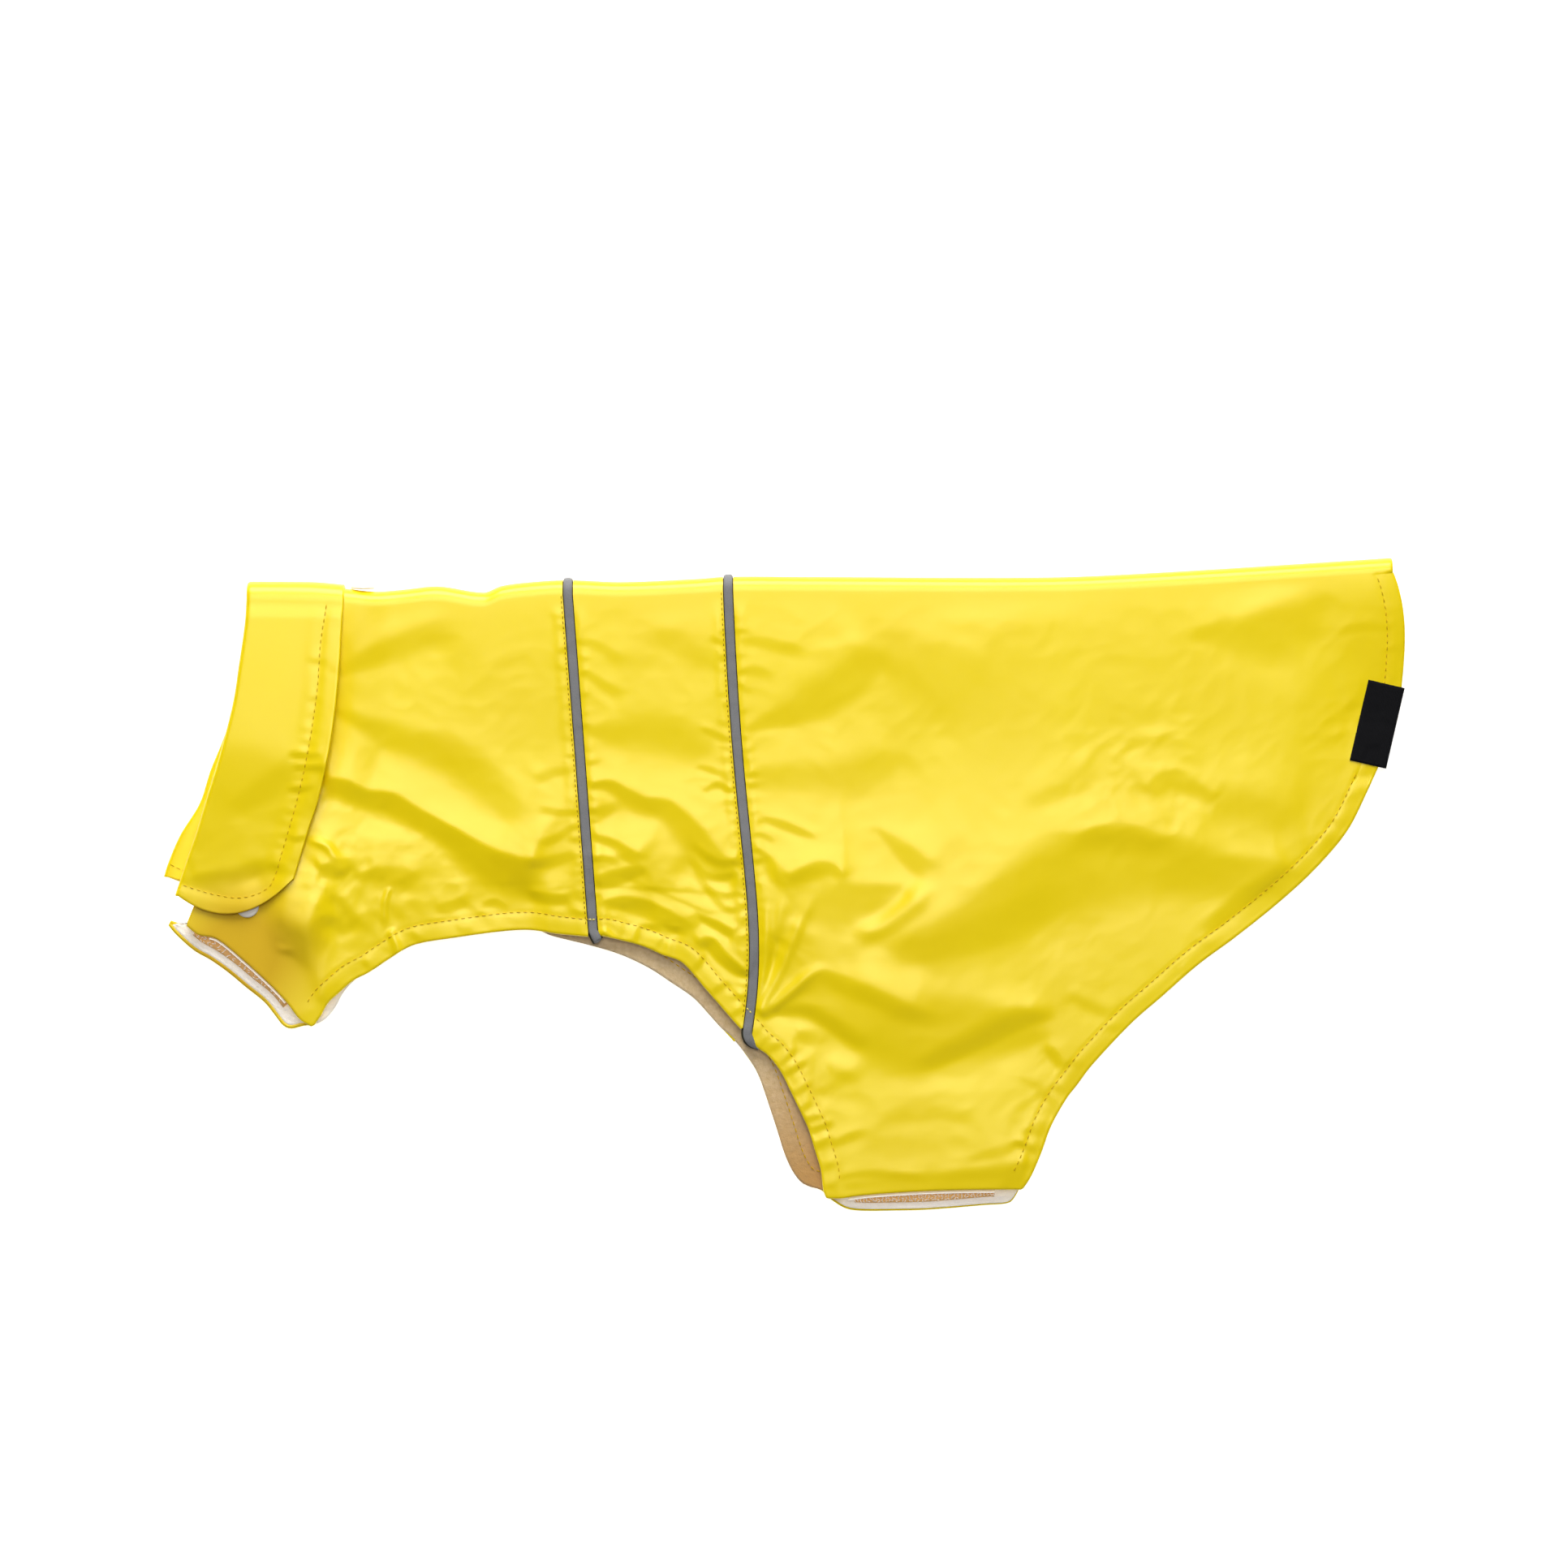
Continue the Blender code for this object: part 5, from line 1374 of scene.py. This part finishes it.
def make_collar(material, leaf):
    """Fold-over collar: stand and leaf in one closed section, from the near end to the far."""
    near = collar_rows(NEAR, COLLAR_NEAR, 120, leaf)
    far = collar_rows(FAR, COLLAR_FAR, 70, leaf)
    _, fold_x, _, edge_x, _ = COLLAR_NEAR[0]
    xs, lifts = np.array([
        collar_place(*place, COLLAR_HALF_WALL, NECK - STAND_TUCK, fold_x, edge_x)
        for place in collar_across()
    ]).T
    fold = [locate(FOLD, xs, angle, lifts) for angle in np.linspace(90, -90, 15)[1:-1]]
    sheet = Sheet()
    sheet.grid(np.concatenate([near[::-1], np.stack(fold), far]), closed=True)
    piece = sheet.build("collar_cloth", material)
    finish_cloth(piece, ["collar"])


def piping_line(seam):
    """Kinds and plan places along a seam, from just past the near hem to the far one."""
    near = np.stack(plan_point(NEAR, SEAMS[seam], np.linspace(1.0, 0.0, 150)), 1)
    end = smooth_path(PIPING_ENDS[seam] + (tuple(near[3]),))[:-1]
    near = np.concatenate([end, near[3:-1]])
    far = np.stack(plan_point(FAR, SEAMS[seam], np.linspace(0, 0.97, 100)), 1)[1:]
    angles = np.linspace(90.0, -90.0, 19)
    return (np.repeat((NEAR, FOLD, FAR), (len(near), len(angles), len(far))),
            np.concatenate([near[:, 0], np.full(len(angles), SEAMS[seam]), far[:, 0]]),
            np.concatenate([near[:, 1], angles, far[:, 1]]))


def piping_section():
    """The bead's section between its flanges: distance out to the side, and height."""
    rim = [(-np.sign(np.cos(angle)) * abs(np.cos(angle)) ** 0.7 * PIPING_HALF_WIDTH,
            np.sin(angle) ** 0.55) for angle in np.linspace(0, np.pi, 17)]
    return [(-PIPING_FLANGE, -0.3), *rim, (PIPING_FLANGE, -0.3)]


def make_pipings(material, painted_shadow_material):
    """Reflective piping: a flat-topped bead in each seam, its sides in a dark material as painted
    seam shadow.
    """
    for seam, name in enumerate(("piping_front", "piping_rear")):
        kind, a, b = piping_line(seam)
        side_x, side_y, loose = outward(kind, a, b)
        side_x[loose], side_y[loose] = -1.0, 0.0
        proud = np.select([kind == NEAR, kind == FOLD],
                          [PIPING_PROUD, PIPING_PROUD * smoothstep(-90, 0, b)], 0.0)
        place = np.arange(len(kind), dtype=float)
        narrow = 0.25 + 0.75 * smoothstep(0, PIPING_ROUND[seam], place + 0.5)
        sink = PIPING_SINK * (1 - smoothstep(0, PIPING_ROUND[seam], place))
        grid = np.stack([
            locate(kind, a + side_x * out * narrow, b + side_y * out * narrow,
                   OUTER_LIFT - PIPING_ROOT + (PIPING_ROOT + proud) * up - sink)
            for out, up in piping_section()
        ], 1)
        bead, edges = Sheet(), Sheet()
        bead.grid(grid[:, PIPING_EDGE:-PIPING_EDGE])
        edges.grid(grid[:, :PIPING_EDGE + 1])
        edges.grid(grid[:, -PIPING_EDGE - 1:])
        finish_trim(bead.build(name + "_bead", material), [name])
        finish_trim(edges.build(name + "_painted_shadow", painted_shadow_material))


def tape_section(edge, inner):
    """Round a tape's section: distance inside the hem, and side (1 outer, 0 edge, -1 inner)."""
    out = [(edge, 0), (edge + TAPE_ROUND, 1)]
    out += [(inset, 1) for inset in np.linspace(edge + 1, inner - 1, 14)]
    out += [(inner - TAPE_ROUND, 1), (inner, 0), (inner - TAPE_ROUND, -1)]
    out += [(inset, -1) for inset in np.linspace(inner - 1, edge + 1, 14)]
    return out + [(edge + TAPE_ROUND, -1)]


def make_tapes(base_material, hook_material):
    """Hook-and-loop tapes: a slab along each tab's hem, with loops on what shows of the far."""
    for name, half, low, high, outset, show in TAPES:
        columns = np.linspace(low, high, 60)
        edge, inner = -outset, TAPE_WIDTH - outset
        ribs = TAPE_RIB * np.sin(columns * 6.0)
        lines = []
        for inset, side in tape_section(edge, inner):
            curl = TAPE_CURL * smoothstep(1.5, 0.0, inset - edge) if half == NEAR else 0.0
            lift = TAPE_LIFT - 0.35 - TAPE_HALF_WALL * side + ribs + curl
            lines.append(locate(half, *inside_hem(half, columns, inset), lift))
        grid = np.stack(lines, 1)
        ends = grid[[0, -1]]
        ends[..., 2] = (ends[..., 2] + np.roll(ends[:, ::-1], 1, 1)[..., 2]) / 2
        sheet = Sheet()
        sheet.grid(np.concatenate([ends[:1], grid, ends[1:]]), closed=True)
        # Far tapes take the tan of painted shade, near ones white; both have a painted glow
        piece = sheet.build(name + "_strip", base_material if half == NEAR else hook_material)
        finish_trim(piece, [name])
        if show:
            make_hooks(name, half, low, high, edge, show, base_material)


def make_hooks(name, half, low, high, edge, show, material):
    """Small thread loops standing on a tape, a little uneven."""
    draw = np.random.default_rng(len(name))
    sheet = Sheet()
    angles = np.linspace(0.0, np.pi, 7)[:, None]
    spins = np.linspace(0, 2 * np.pi, 5)[:-1]
    for inset in np.arange(edge + 0.7, edge + show, HOOK_ROW_PITCH):
        for place in np.arange(low, high, HOOK_PITCH):
            spine_x = place + draw.uniform(-0.3, 0.3)
            x, y = inside_hem(half, np.array([spine_x]), inset + draw.uniform(-0.25, 0.25))
            lean, tall = draw.uniform(0, np.pi), draw.uniform(0.8, 1.5)
            wide = draw.uniform(0.35, 0.55)
            base = locate(half, x, y, TAPE_LIFT - 0.6)[0]
            along = wide * np.cos(angles) + HOOK_THICK * np.cos(spins) * np.cos(angles)
            aside = HOOK_THICK * np.sin(spins)
            up = tall * np.sin(angles) + HOOK_THICK * np.cos(spins) * np.sin(angles)
            ring = np.stack([along * np.cos(lean) - aside * np.sin(lean),
                             along * np.sin(lean) + aside * np.cos(lean), up], -1)
            sheet.grid(base + ring, closed=True)
    piece = sheet.build(name + "_loops", material, weld=0.0)
    finish_trim(piece)


def make_snap(name, material, at, faces_back):
    """Snap cap: a low dome with a rounded rim and a shallow dimple, facing up or +Y."""
    turns = np.linspace(0, 2 * np.pi, 49)[:-1]
    rings = []
    for radius, height in SNAP_PROFILE:
        ring = np.stack([radius * np.cos(turns), radius * np.sin(turns),
                         np.full(turns.shape, height)], -1)
        if faces_back:
            ring = ring[:, (0, 2, 1)] * (1, 1, -1)
        rings.append(at + ring)
    sheet = Sheet()
    sheet.grid(np.stack(rings), closed=True)
    piece = sheet.build(name + "_cap", material)
    finish_trim(piece, [name])


def make_snaps(material):
    """One snap on the folded back behind the collar, one on the chest under its end."""
    low, high = (np.array(corner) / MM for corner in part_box("snap_back"))
    seat = (low + high) / 2
    seat[1] = low[1] + 0.1
    make_snap("snap_back", material, seat, True)
    x, y = SNAP_CHEST
    make_snap("snap_chest", material, locate(NEAR, [x], [y], OUTER_LIFT)[0], False)


def make_label(material):
    """Bare woven label, folded over the tail's hem."""
    corner, run = np.array(LABEL_EDGE[0]), np.subtract(LABEL_EDGE[1], LABEL_EDGE[0])
    out = np.array([-run[1], run[0]]) / np.hypot(*run)
    over, under = OUTER_LIFT + LABEL_OFF_OUTER, LINING_LIFT - LABEL_OFF_INNER
    middle, half = (over + under) / 2, (over - under) / 2
    angles = np.radians(np.linspace(90, -90, 9))
    line = [(reach, over) for reach in np.linspace(-LABEL_OVER, 0.0, 18)[:-1]]
    line += [(LABEL_OFF_EDGE * np.cos(angle), middle + half * np.sin(angle))
             for angle in angles]
    line += [(reach, under) for reach in np.linspace(0.0, -LABEL_UNDER, 10)[1:]]
    line = np.array(line)
    along = np.gradient(line, axis=0)
    normal = np.stack([-along[:, 1], along[:, 0]], 1) / np.hypot(*along.T)[:, None]
    rows = []
    for share in (0.0, *np.linspace(0.004, 0.996, 36), 1.0):
        wall = normal * (0.0 if share in (0.0, 1.0) else LABEL_HALF_WALL)
        section = np.concatenate([line + wall, (line - wall)[::-1]])
        plan = corner + run * share + section[:, :1] * out
        rows.append(locate(NEAR, plan[:, 0], plan[:, 1], section[:, 1]))
    sheet = Sheet()
    sheet.grid(np.stack(rows), closed=True)
    piece = sheet.build("label_tape", material)
    finish_trim(piece, ["label"])


def add_stitches(sheet, kind, path, lift, pitch=STITCH_PITCH, length=STITCH_LENGTH,
                 radius=THREAD):
    """Adds a run of stitches along a path, each a short bowed thread that dips at its ends."""
    a, b = path.T
    steps = np.linalg.norm(np.diff(locate(kind, a, b, lift), axis=0), axis=1)
    travel = np.concatenate(([0.0], np.cumsum(steps)))
    middles = np.arange(pitch / 2, travel[-1] - pitch / 2, pitch)
    if len(middles) == 0:
        return
    thick = radius * np.array(STITCH_THICK)[:, None, None]
    places = middles[:, None] + np.linspace(-0.5, 0.5, len(STITCH_RISE)) * length
    a, b = np.interp(places, travel, a), np.interp(places, travel, b)
    middle = locate(kind, a, b, lift + np.array(STITCH_RISE))
    up = locate(kind, a, b, lift + np.array(STITCH_RISE) + 0.5) - middle
    up /= np.linalg.norm(up, axis=-1, keepdims=True)
    across = np.cross(np.gradient(middle, axis=1), up)
    across /= np.linalg.norm(across, axis=-1, keepdims=True)
    spins = np.linspace(0, 2 * np.pi, 7)[:-1, None]
    for centre, aside, above in zip(middle, across, up):
        sheet.grid(centre[:, None] + thick * (np.cos(spins) * aside[:, None]
                                              + np.sin(spins) * above[:, None]), closed=True)


def outer_lift(half):
    """Lift of the stitches on a half's outer face."""
    return OUTER_LIFT - (FAR_SUNK if half == FAR else 0.0)


def stitch_hems(sheet):
    """Topstitching of the hems, on both faces of the far half, and of the collar's far end."""
    for half in (NEAR, FAR):
        for low, high in HEM_STITCHES:
            path = hem_path(half, STITCH_INSET, low, high)
            if half == NEAR and high < TAIL:
                x, y = path.T
                left, bottom, top = UNDER_LABEL
                path = path[~((x > left) & (y > bottom) & (y < top))]
            add_stitches(sheet, half, path, outer_lift(half))
            if half == FAR:
                add_stitches(sheet, half, path, LINING_LIFT - LINING_STITCH_OFF)
    add_stitches(sheet, FAR, smooth_path(COLLAR_STITCH_FAR, 8),
                 COLLAR_TURN_LIFT - COLLAR_MIDDLE - COLLAR_HALF_WALL - 0.1)


def stitch_seams(sheet):
    """Finer stitches beside each piping, toward the neck."""
    for seam in (0, 1):
        for half in (NEAR, FAR):
            path = seam_path(seam, half)[:-2] - (SEAM_STITCH_INSET, 0.0)
            add_stitches(sheet, half, path, outer_lift(half) + SEAM_STITCH_OFF,
                         PIPING_STITCH_PITCH, PIPING_STITCH_LENGTH, SEAM_THREAD)


def stitch_crossings(sheet):
    """Thicker stitches where the hem's topstitching runs over each piping."""
    for seam, place in enumerate(SEAMS):
        path = smooth_path(hem_path(NEAR, STITCH_INSET, place - 9.0, place + 9.0), 8)
        away = np.abs(from_path(*path.T, seam_path(seam))[0])
        add_stitches(sheet, NEAR, path[away < PIPING_HALF_WIDTH - 0.1],
                     OUTER_LIFT + PIPING_PROUD, CROSSING_PITCH, PIPING_STITCH_LENGTH,
                     CROSSING_THREAD)


def stitch_leaf(sheet, leaf):
    """Topstitching of the near leaf, which stands on its own creases."""
    saved = CREASES[NEAR]
    CREASES[NEAR] = saved.raised_by(leaf)
    add_stitches(sheet, NEAR, smooth_path(COLLAR_STITCH_NEAR, 8),
                 COLLAR_TURN_LIFT + COLLAR_MIDDLE + COLLAR_HALF_WALL)
    CREASES[NEAR] = saved


def sew(name, material, stitch, *more):
    """One piece of all the stitches that a function adds."""
    sheet = Sheet()
    stitch(sheet, *more)
    finish_trim(sheet.build(name, material, weld=0.0))


def make_stitching(material, shaded, bright, leaf):
    """All rows of stitches: hems, seams beside the pipings, crossings and the collar."""
    sew("hem_stitches", material, stitch_hems)
    sew("seam_stitches", shaded, stitch_seams)
    sew("crossing_stitches", bright, stitch_crossings)
    sew("collar_stitches", material, stitch_leaf, leaf)


def make_stage():
    """Pale floor, soft light from the back of the coat, and the camera straight above."""
    bpy.ops.mesh.primitive_plane_add(size=6.0, location=(0.0, 0.0, -0.0003))
    floor = bpy.context.object
    floor.name = "floor"
    nodes = Nodes("pale_floor")
    nodes.set(Base_Color=(0.80, 0.80, 0.80), Roughness=0.9, Emission_Color=(1.0, 1.0, 1.0),
              Emission_Strength=0.85)
    floor.data.materials.append(nodes.material)
    world = bpy.data.worlds.new("studio")
    bpy.context.scene.world = world
    world.use_nodes = True
    background = world.node_tree.nodes["Background"]
    background.inputs["Color"].default_value = (1.0, 1.0, 1.0, 1.0)
    background.inputs["Strength"].default_value = WORLD_STRENGTH
    for name, place, size, power in LAMPS:
        lamp = bpy.data.lights.new(name, "AREA")
        lamp.shape = "DISK"
        lamp.size = size
        lamp.energy = power
        holder = bpy.data.objects.new(name, lamp)
        bpy.context.scene.collection.objects.link(holder)
        holder.location = place
        aim = -holder.location
        holder.rotation_euler = aim.to_track_quat("-Z", "Y").to_euler()
    camera = bpy.data.cameras.new("camera")
    camera.lens = CAMERA_LENS
    camera.sensor_width = CAMERA_SENSOR
    holder = bpy.data.objects.new("camera", camera)
    bpy.context.scene.collection.objects.link(holder)
    holder.location = CAMERA_AT
    bpy.context.scene.camera = holder
    bpy.context.scene.view_settings.view_transform = "Standard"


def main():
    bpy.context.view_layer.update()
    nylon = nylon_material()
    leaf = leaf_creases()
    make_shells(nylon)
    make_lining(fleece_material())
    make_collar(nylon, leaf)
    make_pipings(piping_material(), plain_material("piping_painted_shadow"))
    make_tapes(plain_material("tape_white_painted_glow"), plain_material("tape_painted_shade_glow"))
    make_snaps(plain_material("snap_white"))
    make_label(label_material())
    make_stitching(plain_material("yellow_thread"), plain_material("shaded_thread"),
                   plain_material("bright_thread"), leaf)
    make_stage()


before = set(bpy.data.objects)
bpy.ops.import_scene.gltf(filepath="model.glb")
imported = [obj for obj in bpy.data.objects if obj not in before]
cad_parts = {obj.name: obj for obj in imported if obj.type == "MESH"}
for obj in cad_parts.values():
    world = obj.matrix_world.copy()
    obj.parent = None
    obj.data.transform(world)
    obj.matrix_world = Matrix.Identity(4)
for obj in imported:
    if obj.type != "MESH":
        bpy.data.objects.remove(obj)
CREASES = {NEAR: near_creases(), FAR: far_creases()}
main()
